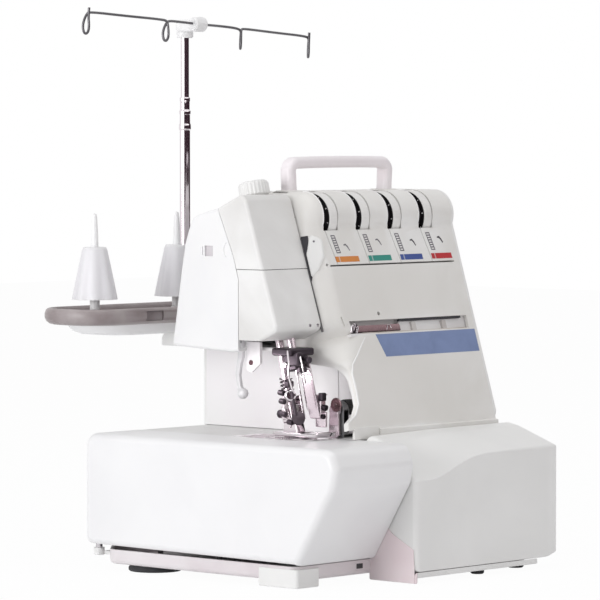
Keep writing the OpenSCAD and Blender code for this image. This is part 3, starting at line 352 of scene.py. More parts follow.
    def tick(self, centre: Flat, angle: float, reach: Flat, half: float, x: Flat) -> "Form":
        """Adds a narrow bar that points away from a centre (y, z), for the scale of a dial.

        Args:
            centre: the dial's centre.
            angle: the bar's direction.
            reach: how far from the centre its ends are.
            half: half its width.
            x: where its back and its face are.

        Returns:
            This form.
        """
        (near, far), c, s = reach, cos(angle), sin(angle)
        return self.along_x([(centre[0] + r * c - h * s, centre[1] + r * s + h * c)
                             for r, h in ((near, -half), (far, -half), (far, half), (near, half))], *x)

    def cut(self, *tools: "Form", keep: bool = False) -> "Form":
        """Takes the tools' shapes out of this form.

        Args:
            tools: the forms to take out, all at once.
            keep: keep only what lies inside the tools.

        Returns:
            This form.
        """
        whole = Form()
        for tool in tools:
            whole.join(tool)
        subject = add_object("subject", self.data("subject"))
        cutter = add_object("cutter", whole.data("cutter"))
        step = subject.modifiers.new("cut", "BOOLEAN")
        step.operation = "INTERSECT" if keep else "DIFFERENCE"
        step.solver, step.object, step.use_self = "EXACT", cutter, True
        graph = bpy.context.evaluated_depsgraph_get()
        data = bpy.data.meshes.new_from_object(subject.evaluated_get(graph))
        self.mesh.free()
        self.mesh = bmesh.new()
        self.mesh.from_mesh(data)
        for obj in (subject, cutter):
            old = obj.data
            bpy.data.objects.remove(obj)
            bpy.data.meshes.remove(old)
        bpy.data.meshes.remove(data)
        return self

    def make(self, name: str, finish: "Finish", body: str = "root", node: str = "",
             soften: float = 0.0, smooth: float = 32.0) -> bpy.types.Object:
        """Turns the form into a finished piece that rides on a body.

        Args:
            name: the piece's name.
            finish: its material.
            body: the CAD body that it moves with.
            node: the CAD node that it is shown instead of, if any.
            soften: the radius of a bevel on the edges that are still sharp, in millimetres.
            smooth: edges above this angle in degrees stay crisp.

        Returns:
            The Blender object.
        """
        bmesh.ops.remove_doubles(self.mesh, verts=self.mesh.verts, dist=SAME_SPOT)
        loose = [f for f in self.mesh.faces if f.calc_area() < LEAST_FACE]
        bmesh.ops.delete(self.mesh, geom=loose, context="FACES_ONLY")
        data = self.data(name, MM)
        self.mesh.free()
        piece = add_object(name, data)
        data.shade_smooth()
        data.set_sharp_from_angle(angle=radians(smooth))
        if soften:
            edge = piece.modifiers.new("soft_edges", "BEVEL")
            edge.width, edge.segments, edge.limit_method = soften * MM, 2, "ANGLE"
            edge.angle_limit, edge.harden_normals = SOFT_EDGE, False
        normal = piece.modifiers.new("even_light", "WEIGHTED_NORMAL")
        normal.keep_sharp = True
        data.materials.append(finish.material())
        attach(piece, body)
        if node:
            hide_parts(node)
        LOG.info("%s rides on %s", name, body)
        return piece


class Weather(Enum):
    """How a finish's surface varies close up."""

    MOULDED = "moulded"
    BRUSHED = "brushed"
    RUBBED = "rubbed"


class Nodes:
    """A shader tree in the making."""

    def __init__(self, tree: bpy.types.NodeTree) -> None:
        """Takes the tree that the nodes join."""
        self.tree = tree

    @classmethod
    def fresh(cls, owner: bpy.types.Material | bpy.types.World) -> "Nodes":
        """The emptied tree of a material or a world."""
        owner.use_nodes = True
        owner.node_tree.nodes.clear()
        return cls(owner.node_tree)

    def add(self, kind: str, *inputs: tuple, **settings) -> bpy.types.bpy_prop_collection:
        """Adds a node.

        Args:
            kind: its type; "ShaderNode" is put before the type of a shader node.
            inputs: pairs of an input's name or number, and a value or the socket it is linked to.
            settings: the node's own settings, such as its operation.

        Returns:
            The node's outputs.
        """
        node = self.tree.nodes.new(kind if kind.startswith("Node") else "ShaderNode" + kind)
        for key, value in settings.items():
            setattr(node, key, value)
        for key, value in inputs:
            if isinstance(value, bpy.types.NodeSocket):
                self.tree.links.new(value, node.inputs[key])
            else:
                node.inputs[key].default_value = value
        return node.outputs

    def maths(self, operation: str, first: bpy.types.NodeSocket | float,
              second: bpy.types.NodeSocket | float) -> bpy.types.NodeSocket:
        """A sum of two values, each a number or a socket."""
        return self.add("Math", (0, first), (1, second), operation=operation)[0]

    def mix(self, mask: bpy.types.NodeSocket, first, second, share: float = 1.0) -> bpy.types.NodeSocket:
        """Mixes two colours by a mask.

        Args:
            mask: the socket that gives the share of the second colour.
            first: a colour, or a socket that gives one.
            second: the colour where the mask is 1.
            share: what the mask is multiplied by.

        Returns:
            The socket that gives the mixed colour.
        """
        if share != 1:
            mask = self.maths("MULTIPLY", mask, share)
        first, second = ((*c, 1) if isinstance(c, tuple) else c for c in (first, second))
        return self.add("Mix", ("Factor", mask), (6, first), (7, second), data_type="RGBA")[2]


def surface_group() -> bpy.types.NodeTree:
    """The shader group that every finish shares.

    Returns:
        A group with the inputs Grain Scale, Mottle Scale, Stretch and Edge Width, and the
        outputs Grain (a height), Mottle, Scratches and Wear (masks from 0 to 1).
    """
    name = "surface_detail"
    if name in bpy.data.node_groups:
        return bpy.data.node_groups[name]
    group = bpy.data.node_groups.new(name, "ShaderNodeTree")
    for way, titles in (("INPUT", ("Grain Scale", "Mottle Scale", "Stretch", "Edge Width")),
                        ("OUTPUT", ("Grain", "Mottle", "Scratches", "Wear"))):
        for title in titles:
            group.interface.new_socket(name=title, in_out=way, socket_type="NodeSocketFloat")
    nodes = Nodes(group)
    source, place = nodes.add("NodeGroupInput"), nodes.add("TexCoord")["Object"]
    pull = nodes.add("CombineXYZ", ("X", source["Stretch"]), ("Y", 1), ("Z", 1))[0]
    scaled = nodes.add("VectorMath", (0, place), (1, pull), operation="MULTIPLY")[0]
    grain = nodes.add("TexNoise", ("Vector", scaled), ("Scale", source["Grain Scale"]),
                      ("Detail", 3), ("Roughness", 0.62))["Fac"]
    cloud = nodes.add("TexNoise", ("Vector", place), ("Scale", source["Mottle Scale"]),
                      ("Detail", 5), ("Distortion", 0.4))["Fac"]
    mottle = nodes.add("MapRange", ("Value", cloud), ("From Min", 0.34), ("From Max", 0.68))["Result"]
    turned = nodes.add("Mapping", ("Vector", place), ("Rotation", (0.5, 0.8, 0.3)),
                       ("Scale", (1, 14, 1.6)))[0]
    streaks = nodes.add("TexNoise", ("Vector", turned), ("Scale", 60), ("Detail", 6),
                        ("Roughness", 0.75))["Fac"]
    scratches = nodes.add("MapRange", ("Value", streaks), ("From Min", 0.62),
                          ("From Max", 0.72))["Result"]
    shape = nodes.add("NewGeometry")["Pointiness"]
    edge = nodes.add("MapRange", ("Value", shape), ("From Min", 0.5),
                     ("From Max", nodes.maths("ADD", 0.5, source["Edge Width"])))["Result"]
    nodes.add("NodeGroupOutput", ("Grain", grain), ("Mottle", mottle), ("Scratches", scratches),
              ("Wear", nodes.maths("MULTIPLY", edge, mottle)))
    return group


@dataclass(frozen=True)
class Finish:
    """A surface finish. Colours are linear red, green and blue; sizes are as in the shader group.

    The shade is the colour in the mottle's darker spots, and worn is the colour of rubbed edges.
    Spread is how far the roughness strays to both sides, and depth the grain's height in millimetres.
    """

    name: str
    slot: str
    colour: Colour
    shade: Colour | None = None
    worn: Colour | None = None
    roughness: float = 0.4
    spread: float = 0.06
    metallic: float = 0.0
    grain: float = 900.0
    depth: float = 0.04
    mottle: float = 18.0
    stretch: float = 1.0
    alpha: float = 1.0
    glow: float = 0.0
    weather: Weather = Weather.MOULDED

    def material(self) -> bpy.types.Material:
        """The finish as a material, made on first use."""
        if self.name not in bpy.data.materials:
            self._dress(bpy.data.materials.new(self.name))
        return bpy.data.materials[self.name]

    def _dress(self, made: bpy.types.Material) -> None:
        """Builds the nodes of a new material."""
        nodes = Nodes.fresh(made)
        detail = nodes.add("Group", ("Grain Scale", self.grain), ("Mottle Scale", self.mottle),
                           ("Stretch", self.stretch),
                           ("Edge Width", 0.05 if self.weather is Weather.MOULDED else 0.08),
                           node_tree=surface_group())
        shade = self.shade or tuple(c * 0.93 for c in self.colour)
        worn = self.worn or tuple(min(0.9, c * 1.05 + 0.004) for c in self.colour)
        colour = nodes.mix(detail["Mottle"], shade, self.colour)
        if self.weather is Weather.RUBBED:
            colour = nodes.mix(detail["Scratches"], colour, worn, 0.35)
        colour = nodes.mix(detail["Wear"], colour, worn, 0.8)
        mask = "Scratches" if self.weather is Weather.BRUSHED else "Mottle"
        rough = nodes.add("MapRange", ("Value", detail[mask]),
                          ("To Min", max(0.02, self.roughness - self.spread)),
                          ("To Max", min(1, self.roughness + self.spread)))["Result"]
        bump = nodes.add("Bump", ("Strength", 1), ("Distance", self.depth * MM),
                         ("Height", detail["Grain"]))[0]
        glow = (("Emission Color", (*self.colour, 1)), ("Emission Strength",
                                                        self.glow)) if self.glow else ()
        shader = nodes.add("BsdfPrincipled", ("Base Color", colour), ("Roughness", rough),
                           ("Normal", bump), ("Metallic", self.metallic), ("Alpha", self.alpha),
                           *glow)[0]
        nodes.add("OutputMaterial", ("Surface", shader))


def tinted(base: Finish, name: str, colour: Colour,
           shade: Colour) -> Finish:
    """A finish like another one, in a colour of its own."""
    return replace(base, name=name, colour=colour, shade=shade)


CASING = Finish("casing_plastic", "casing", (0.84, 0.84, 0.825), (0.80, 0.80, 0.785),
                (0.88, 0.88, 0.87), 0.42, 0.05, depth=0.03, grain=1400, mottle=14)
PANEL = tinted(CASING, "panel_plastic", (0.79, 0.775, 0.745), (0.75, 0.735, 0.70))
PLATE = replace(CASING, name="cloth_plate_plastic", colour=(0.87, 0.87, 0.875),
                shade=(0.84, 0.84, 0.845), roughness=0.33)
INNER = tinted(CASING, "inner_plastic", (0.76, 0.74, 0.74), (0.71, 0.69, 0.69))
# Pink-tinted plastic for the throat and the brackets in it, made lighter than the casing as painted
# light in the shaded throat.
THROAT = tinted(CASING, "throat_plastic_painted_light", (0.93, 0.90, 0.92), (0.90, 0.87, 0.89))
HANDLE = Finish("handle_plastic", "handle", (0.90, 0.84, 0.86), (0.87, 0.81, 0.83), None, 0.38, 0.05,
                grain=1300, depth=0.03)
PAN = tinted(CASING, "pan_plastic", (0.74, 0.68, 0.70), (0.68, 0.62, 0.64))
# Near-black for dark strips and skins set into gaps, seams and under lips: painted shadow where there is
# only shade.
SEAM = Finish("seam_shadow", "casing", (0.045, 0.043, 0.05), None, None, 0.8, 0.05)
RUBBER = Finish("foot_rubber", "foot_rubber", (0.012, 0.011, 0.013), (0.02, 0.018, 0.02),
                (0.05, 0.048, 0.05), 0.78, 0.08, grain=700, depth=0.12, weather=Weather.RUBBED)
IRON = Finish("cast_frame_paint", "cast_frame", (0.33, 0.33, 0.34), (0.26, 0.26, 0.27), None, 0.55,
              0.1, 0.3, grain=420, depth=0.25, weather=Weather.RUBBED)
STEEL = Finish("ground_steel", "steel", (0.55, 0.53, 0.55), (0.42, 0.40, 0.42), None, 0.3, 0.1, 1,
               grain=1500, depth=0.01, stretch=0.12, weather=Weather.BRUSHED)
CHROME = Finish("polished_chrome", "chrome", (0.82, 0.77, 0.80), (0.70, 0.64, 0.67), None, 0.13,
                0.05, 1, grain=900, depth=0.004, weather=Weather.BRUSHED)
PINK = Finish("pale_plated_metal", "chrome", (0.84, 0.74, 0.79), (0.72, 0.61, 0.67), None, 0.26,
              0.08, 0.75, grain=900, depth=0.006, weather=Weather.BRUSHED)
WIRE = replace(STEEL, name="guide_wire_steel", colour=(0.16, 0.155, 0.165), shade=(0.10, 0.095, 0.105),
               metallic=0.7, roughness=0.4)
BRONZE = Finish("sintered_bronze", "bronze", (0.50, 0.30, 0.15), (0.38, 0.22, 0.11), None, 0.42,
                0.1, 1, grain=1200, depth=0.03)
DARK = Finish("black_oxide_steel", "dark_metal", (0.03, 0.022, 0.032), (0.016, 0.012, 0.018),
              (0.16, 0.13, 0.15), 0.34, 0.1, 0.85, grain=1000, depth=0.02, weather=Weather.RUBBED)
ROSE = Finish("thread_plate_metal", "dark_metal", (0.20, 0.105, 0.12), (0.14, 0.07, 0.085),
              (0.42, 0.30, 0.31), 0.32, 0.08, 0.8, grain=900, depth=0.01, weather=Weather.BRUSHED)
WHEEL = Finish("wheel_plastic", "wheel", (0.83, 0.83, 0.82), None, None, 0.4, 0.06, depth=0.03)
BLACK = Finish("pulley_plastic", "pulley_black", (0.016, 0.016, 0.018), (0.028, 0.027, 0.03),
               (0.09, 0.09, 0.09), 0.5, 0.1, depth=0.04, weather=Weather.RUBBED)
BELT = Finish("belt_rubber", "belt_rubber", (0.013, 0.012, 0.013), None, None, 0.85, 0.08, grain=600,
              depth=0.15)
MOTOR = Finish("motor_enamel", "motor_case", (0.06, 0.06, 0.065), None, None, 0.45, 0.08, 0.5,
               grain=500, depth=0.08)
LEVER = Finish("lever_paint", "lever_grey", (0.66, 0.66, 0.67), (0.60, 0.60, 0.61), None, 0.36, 0.07)
DIAL = Finish("dial_plastic", "dial", (0.82, 0.81, 0.79), (0.77, 0.76, 0.74), None, 0.35, 0.05,
              depth=0.02)
DIAL_FACE = Finish("dial_face_black", "dial", (0.012, 0.010, 0.012), None, None, 0.3, 0.08)
LAMP = Finish("lamp_glass", "lamp", (0.92, 0.90, 0.84), None, None, 0.25, 0.05, glow=0.15)
TRAY = Finish("tray_plastic", "tray", (0.30, 0.255, 0.255), (0.235, 0.195, 0.195),
              (0.42, 0.38, 0.38), 0.36, 0.08, mottle=26, grain=1000, depth=0.04)
STAND = Finish("stand_plastic", "stand_plastic", (0.94, 0.92, 0.93), (0.91, 0.89, 0.90), None, 0.4)
CONE = Finish("cone_plastic", "cone", (0.87, 0.86, 0.885), (0.82, 0.81, 0.835), None, 0.34, 0.06,
              grain=700, depth=0.03, alpha=0.86)
BAND = Finish("panel_band_print", "casing", (0.20, 0.265, 0.46), (0.18, 0.24, 0.42), None, 0.4,
              0.05, mottle=60)
INK = Finish("scale_print", "dial", (0.17, 0.16, 0.18), (0.13, 0.12, 0.14), None, 0.5, 0.05)
DARK_INK = tinted(INK, "thread_path_print", (0.03, 0.025, 0.035), (0.05, 0.04, 0.05))
# A whiter plastic colour: on thin tubes along the panel rim, the dial slots and the looper crease it is
# a painted highlight; on the dials it is their printed white marks.
HIGHLIGHT_AND_PRINT_WHITE = tinted(CASING, "highlight_and_print_white", (0.90, 0.89, 0.89), (0.87, 0.86, 0.86))
STOP = tinted(INNER, "stop_plastic", (0.34, 0.28, 0.25), (0.27, 0.22, 0.20))
EDGE = tinted(INNER, "edge_plastic", (0.52, 0.44, 0.38), (0.45, 0.38, 0.33))
# Greyer than the cover: painted shade on the floor of the side cover's pocket.
POCKET = tinted(INNER, "pocket_floor_painted_shade", (0.50, 0.44, 0.48), (0.44, 0.39, 0.43))
# The head's face covers, darker than the side cover's plastic: painted shade on the front-facing faces.
FACE = tinted(PANEL, "face_plastic_painted_shade", (0.71, 0.70, 0.68), (0.67, 0.66, 0.64))
# Dark fill for the tray's notch: painted shadow inside it.
TRAY_NOTCH_DARK = tinted(TRAY, "tray_notch_shadow", (0.085, 0.05, 0.055), (0.06, 0.035, 0.04))
EDGE_DARK = tinted(THROAT, "edge_shadow_plastic", (0.70, 0.67, 0.69), (0.66, 0.63, 0.65))
SKIRT = tinted(CASING, "skirt_plastic", (0.85, 0.75, 0.765), (0.82, 0.71, 0.73))
# Dark grey for the tube in the gap by the head's front edge: painted shade of the gap.
HEAD_GAP_SHADE = replace(SEAM, name="head_gap_painted_shade", colour=(0.13, 0.125, 0.13))
THREAD_COLOURS = {"orange": (0.67, 0.235, 0.044), "green": (0.017, 0.26, 0.205),
                  "blue": (0.035, 0.075, 0.30), "red": (0.51, 0.010, 0.017)}


@dataclass(frozen=True)
class PanelPlane:
    """The leaning plane of the front panel, and places on it."""

    foot_y: float = -88.0
    foot_z: float = 107.5
    lean: float = 0.31

    def y(self, z: float) -> float:
        """How far back the panel is at a height."""
        return self.foot_y + self.lean * (z - self.foot_z)

    def out(self) -> Vector:
        """The direction that the panel faces."""
        return Vector((0, -1, self.lean)).normalized()

    def at(self, x: float, z: float, proud: float = 0.0) -> Spot:
        """A spot on the panel, stood off it by a distance."""
        return tuple(Vector((x, self.y(z), z)) + self.out() * proud)

    def slab(self, form: Form, corners: Sequence[Flat], back: float, front: float) -> None:
        """Adds a flat shape on the panel to a form.

        Args:
            form: the form that it joins.
            corners: (x, z) points round the shape.
            back: how proud its back is; below zero is sunk in.
            front: how proud its face is.
        """
        form.loft([[self.at(x, z, back) for x, z in corners],
                   [self.at(x, z, front) for x, z in corners]])


    def patch(self, form: Form, x: Flat, z: Flat, depth: Flat, slant: float = 0.0) -> None:
        """Adds an upright four-sided shape on the panel to a form.

        Args:
            form: the form that it joins.
            x: its left and right edge at its foot.
            z: its lower and upper edge.
            depth: how proud its back and its face are.
            slant: how far its upper edge is shifted in x.
        """
        corners = [(x[0], z[0]), (x[1], z[0]), (x[1] + slant, z[1]), (x[0] + slant, z[1])]
        self.slab(form, corners, *depth)


PANE = PanelPlane()


@dataclass
class FrontCover:
    """The front cover: the leaning panel, the roll over the dials and the rounded left corner."""

    right: float = 104.4
    wall: float = 2.5
    roll_centre: Flat = (-26, 258.6)
    roll_r: float = 18.4
    roll_depth: float = 17.8
    split_y: float = 8.0
    left_edge: tuple[Flat, ...] = (
        (107.5, -60), (112.8, -58.6), (115.5, -53.5), (118, -49.2), (124.8, -43.7), (133.9, -42.8),
        (142.5, -42.9), (150, -43.5), (154, -45.4), (158, -47.6), (163, -49), (168, -49.4), (290, -49.4))
    left_round: tuple[Flat, ...] = (
        (107.5, 1.6), (118, 1.8), (145, 2.2), (150, 3), (154, 6), (158, 14), (163, 20), (170, 28),
        (175, 33), (181, 16), (186, 12.5), (290, 12.5))
    left_depth: tuple[Flat, ...] = (
        (107.5, 4), (145, 5), (154, 12), (160, 26), (166, 44), (172, 56), (180, 52), (240, 40),
        (290, 30))
    dial_lefts: tuple[float, ...] = (-32, 3, 38, 73)
    dial_centre: Flat = (-26, 257.5)
    recess: tuple[float, float, float, float] = (-33, 98, 174.6, 184)
    bars: tuple[tuple[str, Flat], ...] = (("orange", (-31.4, -6.4)), ("green", (4.4, 29.2)),
                                          ("blue", (39.6, 64.2)), ("red", (74.6, 97.4)))
    bar_z: Flat = (226.2, 230.2)
    scale_z: float = 232.6

    def profile(self) -> list[tuple[Vector, Vector, float]]:
        """The side view of the skin, from the panel's foot up and over the roll.

        Returns:
            Rows of (place in Y and Z, direction into the body, depth of the left wall).
        """
        spots: list[Vector] = []
        heights = [107.5, 109, 111, 112.8, 114, 116, 118, 120, 122.5, 125, 129, 134, 139, 143, 147, 150,
                   152, 154, 156, 158, 160.5, 163, 166, 169, 172, 175, 178, 181, 184, 187, 191, 197, 205,
                   214, 223, 232, 240, 246, 250]
        spots += [Vector((PANE.y(z), z)) for z in heights]
        spots.append(Vector((-43.9, 251.7)))
        spots += [Vector(p) for p in arc(self.roll_centre, self.roll_r, 196, 90, 22)]
        spots += [Vector((y, self.roll_centre[1] + self.roll_r)) for y in (-20, -12, -2, self.split_y)]
        rows = []
        for i, spot in enumerate(spots):
            along = spots[min(i + 1, len(spots) - 1)] - spots[max(i - 1, 0)]
            inward = Vector((along.y, -along.x)).normalized()
            depth = blend_in(spot.y, self.left_depth)
            if i > len(heights) - 2:
                depth = self.roll_depth
            rows.append((spot, inward, depth))
        return rows

    def skin(self) -> Form:
        """The cover as a closed thin wall."""
        flats = [0.06, 0.12, 0.2, 0.3, 0.45, 0.6, 0.8, 1]
        outer, inner = [], []
        for spot, inward, depth in self.profile():
            edge, r = blend_in(spot.y, self.left_edge), blend_in(spot.y, self.left_round)
            if depth == self.roll_depth:
                r = 12
            for row, gap in ((outer, 0), (inner, self.wall)):
                bend = max(0.2, r - gap)
                ring = [(edge + gap, max(depth, r + 1))]
                ring += [(edge + r - bend * cos(t), r - bend * sin(t))
                         for t in (RIGHT_ANGLE * k / 10 for k in range(11))]
                start = edge + r
                ring += [(start + (self.right - start) * share, gap) for share in flats]
                row.append([(x, spot.x + inward.x * d, spot.y + inward.y * d) for x, d in ring])
        form = Form()
        made = [[[form.mesh.verts.new(p) for p in ring] for ring in side] for side in (outer, inner)]
        for side in made:
            for low, high in zip(side, side[1:]):
                for a, b, c, d in zip(low, low[1:], high[1:], high):
                    form.mesh.faces.new((a, b, c, d))
        front, back = made
        for ring in (0, -1):
            for k in range(len(front[0]) - 1):
                form.mesh.faces.new((front[ring][k], front[ring][k + 1], back[ring][k + 1],
                                     back[ring][k]))
        for k in (0, -1):
            for low in range(len(front) - 1):
                form.mesh.faces.new((front[low][k], front[low + 1][k], back[low + 1][k], back[low][k]))
        return form

    def openings(self) -> list[Form]:
        """The dial slots, the guide recess, the slits and the thread grooves."""
        tools = []
        for left in self.dial_lefts:
            tools.append(Form().rod((left - 5.8, *self.dial_centre), (left + 9.7, *self.dial_centre),
                                    20, steps=64))
            groove = Form()
            PANE.slab(groove, [(left - 5.8, 253), (left - 5, 253), (left + 1.6, 224), (left + 0.9, 224)],
                      -0.9, 4)
            tools.append(groove)
        x0, x1, z0, z1 = self.recess
        hole = Form()
        PANE.slab(hole, [(x0 + 2.5, z0), (x1, z0), (x1, z1), (x0, z1)], -9, 6)
        slit = Form()
        PANE.slab(slit, [(-39.4, 223.3), (98.5, 223.3), (98.5, 224.5), (-38.6, 224.5)], -8, 4)
        side = Form()
        PANE.slab(side, [(x0 - 4.4, 176), (x0 - 3, 176), (x0 - 6.4, 187.5), (x0 - 7.6, 187.5)], -1.4, 4)
        dot = Form().rod(PANE.at(-41.3, 224.8, 2), PANE.at(-41.3, 224.8, -6), 1.1)
        screw = Form().rod(PANE.at(1, 188.4, 2), PANE.at(1, 188.4, -6), 1.5)
        for x in (-34, 73):
            tools.append(Form().box((x - 8.5, -12.3, 272), (x + 8.5, 2.3, 282)))
        tools.append(Form().rod(up_presser(172), up_presser(196), 12.4))
        return tools + [hole, slit, side, dot, screw]

    def recess_lining(self) -> None:
        """The walls and small parts behind the guide recess, and a dark strip under its upper lip as
        painted shadow.
        """
        x0, x1, z0, z1 = self.recess
        wall = Form()
        PANE.patch(wall, (x0, x1 + 2), (z0 - 1.4, z1 + 1.4), (-8.2, -7))
        PANE.patch(wall, (x0, x1 + 2), (z0 - 1.4, z0 + 0.6), (-8, -1.2))
        PANE.patch(wall, (24, x1 + 2), (z0 + 0.6, z1 + 0.4), (-7, -3.2))
        wall.make("guide_recess_wall", INNER, smooth=30)
        blocks = Form()
        for x in (36, 70):
            PANE.patch(blocks, (x, x + 4.5), (z0 + 0.8, z1 - 2.6), (-3.4, -1.2))
        blocks.make("guide_recess_stops", STOP, soften=0.2)
        edge = Form()
        PANE.patch(edge, (-20, x1 - 1), (z0 + 0.3, z0 + 0.9), (-3.4, -1))
        edge.make("guide_recess_edge", EDGE)
        # A dark strip along the recess's upper edge: painted shadow under the lip.
        shade = Form()
        PANE.patch(shade, (23, 92), (z1 - 1.5, z1 + 0.3), (-3.4, -0.9))
        shade.make("guide_recess_lip_shadow", SEAM)

    def thread_guides(self) -> None:
        """The thread guide bar in the recess, with its small bent plates and screws."""
        z = 178.6
        bar = Form()
        PANE.patch(bar, (-26, 23), (z - 2.6, z + 2.2), (-6.9, -1.4))
        bar.bevel(0.5, 2)
        bar.make("guide_bar", ROSE, node="thread_guides")
        bits = Form()
        for x, low, high in ((-31.5, -2.5, 2.5), (-29, -1, 3.4), (-26.4, -3.2, 1.2)):
            bits.rod(PANE.at(x, z + low, -1.5), PANE.at(x + 1.2, z + high, 0.4), 0.9, 0.3)
        bits.rod(PANE.at(-27.6, z + 1.6, -2), PANE.at(-27.6, z + 1.6, -0.6), 1.4, 0.4)
        bits.tube([PANE.at(8, z - 2, -1.6), PANE.at(8.4, z + 1.2, -0.7), PANE.at(11, z + 1.8, -0.6),
                   PANE.at(12.6, z - 0.6, -1.4)], 0.4)
        bits.make("guide_eyelets", CHROME)
        darks = Form()
        for x, high in ((-32.4, 1.8), (-29.6, -1.6), (-25.6, 2.4)):
            darks.rod(PANE.at(x, z + high, -2.4), PANE.at(x, z + high, -0.7), 1.5, 0.4)
        darks.make("guide_screws", DARK)

    def prints(self) -> None:
        """The blue band and, above the slit, each thread's colour bar, scale and path mark."""
        band = Form()
        PANE.slab(band, [(-1.2, 157.4), (103.6, 157.4), (103.6, 173.6), (-7.6, 173.6)], -0.4, 0.12)
        band.make("panel_band", BAND)
        for hue, (x0, x1) in self.bars:
            colour = THREAD_COLOURS[hue]
            bar, tick = Form(), Form()
            for a, b in ((x0 + 4.6, x1), (x0, x0 + 3.4)):
                PANE.patch(bar, (a, b), self.bar_z, (-0.3, 0.12), -0.4)
            bar.make(f"thread_bar_{hue}", Finish(f"print_{hue}", "dial", colour,
                                                 tuple(c * 0.9 for c in colour), None, 0.4, 0.05))
            light = tuple(0.5 * c + 0.36 for c in colour)
            PANE.patch(tick, (x0 + 3.4, x0 + 4.6), self.bar_z, (-0.3, 0.1), -0.4)
            tick.make(f"thread_tick_{hue}", Finish(f"print_light_{hue}", "dial", light, None, None, 0.4))
        scales, marks = Form(), Form()
        for k, left in enumerate(self.dial_lefts):
            x = left - 0.4
            for i in range(8):
                z = self.scale_z + i * 1.75
                lean = -0.22 * (z - self.scale_z)
                PANE.patch(scales, (x + 3.2 + lean, x + 7.4 + lean), (z, z + 0.8), (-0.2, 0.09))
            for side in (3.2, 7):
                PANE.patch(scales, (x + side, x + side + 0.7), (self.scale_z, 245.4), (-0.2, 0.08), -2.7)
            mark = ((14.5, 236.5, 1), (15.5, 239.5, 0.9), (18.5, 238.5, 1.5), (14.8, 240, 2.2))[k]
            self._path_mark(marks if k > 1 else scales, left + mark[0], mark[1], mark[2])
        scales.make("dial_scales", INK)
        marks.make("thread_path_marks", DARK_INK)

    @staticmethod
    def _path_mark(form: Form, x: float, z: float, width: float) -> None:
        """A small hooked line that shows which way a thread runs."""
        line = [(x - 2.6, z + 2.2), (x - 0.4, z + 2.8), (x + 1.6, z + 1), (x + 3.2, z - 2),
                (x + 3.2 - width * 0.5, z - 2.4), (x + 1, z + 0.4 - width * 0.4),
                (x - 0.6, z + 2 - width * 0.4), (x - 2.6, z + 1.4)]
        PANE.slab(form, line, -0.2, 0.09)

    def on_corner(self, u: float, z: float, proud: float) -> Spot:
        """A spot on the rounded left corner.

        Args:
            u: how far round the corner it is from the corner's left edge.
            z: its height.
            proud: how far it stands off the surface.

        Returns:
            The spot.
        """
        r, turn = 12.5, u / 12.5
        edge = self.left_edge[-1][1]
        return (edge + r - (r + proud) * cos(turn), PANE.y(z) + r - (r + proud) * sin(turn), z)

    def corner_cap(self) -> None:
        """The drop-shaped thread cap on the rounded left corner, with a dark strip beside it as painted
        shadow of the gap.
        """
        outline = Outline(((1.4, 215, 0.9), (8.5, 221.5, 5), (14.2, 231, 5), (15.6, 243.5, 4),
                           (6.8, 246.6, 3.2), (4.4, 239, 2), (1.4, 232, 4)), 7)
        cap = Form().loft([[self.on_corner(u, z, height) for u, z in outline.inset(depth).points()]
                           for depth, height in ((0, -2), (0, 0.5), (0.3, 1.2), (1, 1.7), (2.4, 2))])
        cap.make("corner_thread_cap", CASING, smooth=60)
        # A near-black strip beside the cap: painted shadow of the gap.
        gap = Form()
        spots = [(-0.6, 244.6), (5.4, 245.4), (4.8, 240), (3.2, 236.4), (1, 232.6), (0.9, 219),
                 (1.6, 215.6), (0.2, 212.6), (-0.8, 218), (-0.8, 232)]
        gap.loft([[self.on_corner(u, z, height) for u, z in spots] for height in (-1, 0.4)])
        gap.make("corner_gap_shadow", SEAM)
        dot = Form().rod(self.on_corner(9, 241.5, 1.4), self.on_corner(9, 241.5, 2.2), 0.75, 0.2)
        dot.make("corner_cap_dot", INK)

    def build(self) -> None:
        """Makes every piece of the front cover."""
        skin = self.skin().cut(*self.openings())
        skin.make("front_cover_shell", PANEL, node="front_cover", smooth=38)
        # A whiter tube along the panel's left rim: painted highlight on the edge.
        rim, path = Form(), []
        heights = (113.2, 115.5, 118, 121, 125, 130, 134, 139, 143, 147, 150, 153,
                   156.5, 160, 164, 168, 172)
        for z in heights:
            edge, r = blend_in(z, self.left_edge), blend_in(z, self.left_round)
            path.append(PANE.at(edge + r * (1 if z > 147 else 0.5), z, -0.1))
        rim.tube(path, [0.3 + 0.5 * sin(pi * k / (len(path) - 1)) ** 0.5 for k in range(len(path))], 8)
        rim.make("panel_rim_highlight", HIGHLIGHT_AND_PRINT_WHITE, smooth=80)
        # Whiter arcs along the slots' left edges: painted highlight on the slot rims.
        rims, line = Form(), arc(self.roll_centre, self.roll_r + 0.05, 200, 84, 24)
        for left in self.dial_lefts:
            rims.tube([(left - 6.2, a, b) for a, b in line], 0.42, 6)
        rims.make("dial_slot_rim_highlights", HIGHLIGHT_AND_PRINT_WHITE, smooth=80)
        foot = Form()
        foot.along_x([(-87.9, 107.6), (-90.4, 106.9), (-90.4, 97.5), (-87.9, 97.5)], -27, self.right)
        foot.along_x([(-86, 109.4), (-88.3, 109), (-88.3, 100.5), (-86, 100.5)], -53, -27.2)
        foot.make("panel_foot_lip", PANEL)
        self.recess_lining()
        self.thread_guides()
        self.prints()
        self.corner_cap()


HEAD_OUTLINE = Outline(((-54, 179, 5), (-23.1, 272, 5), (-18, 276, 5), (5, 266, 5),
                        (31, 259, 10), (38, 240, 10), (42, 219, 6), (51, 165, 3),
                        (14, 163, 2), (-9, 162, 4), (-24, 164, 3), (-32, 168, 4)), 5)


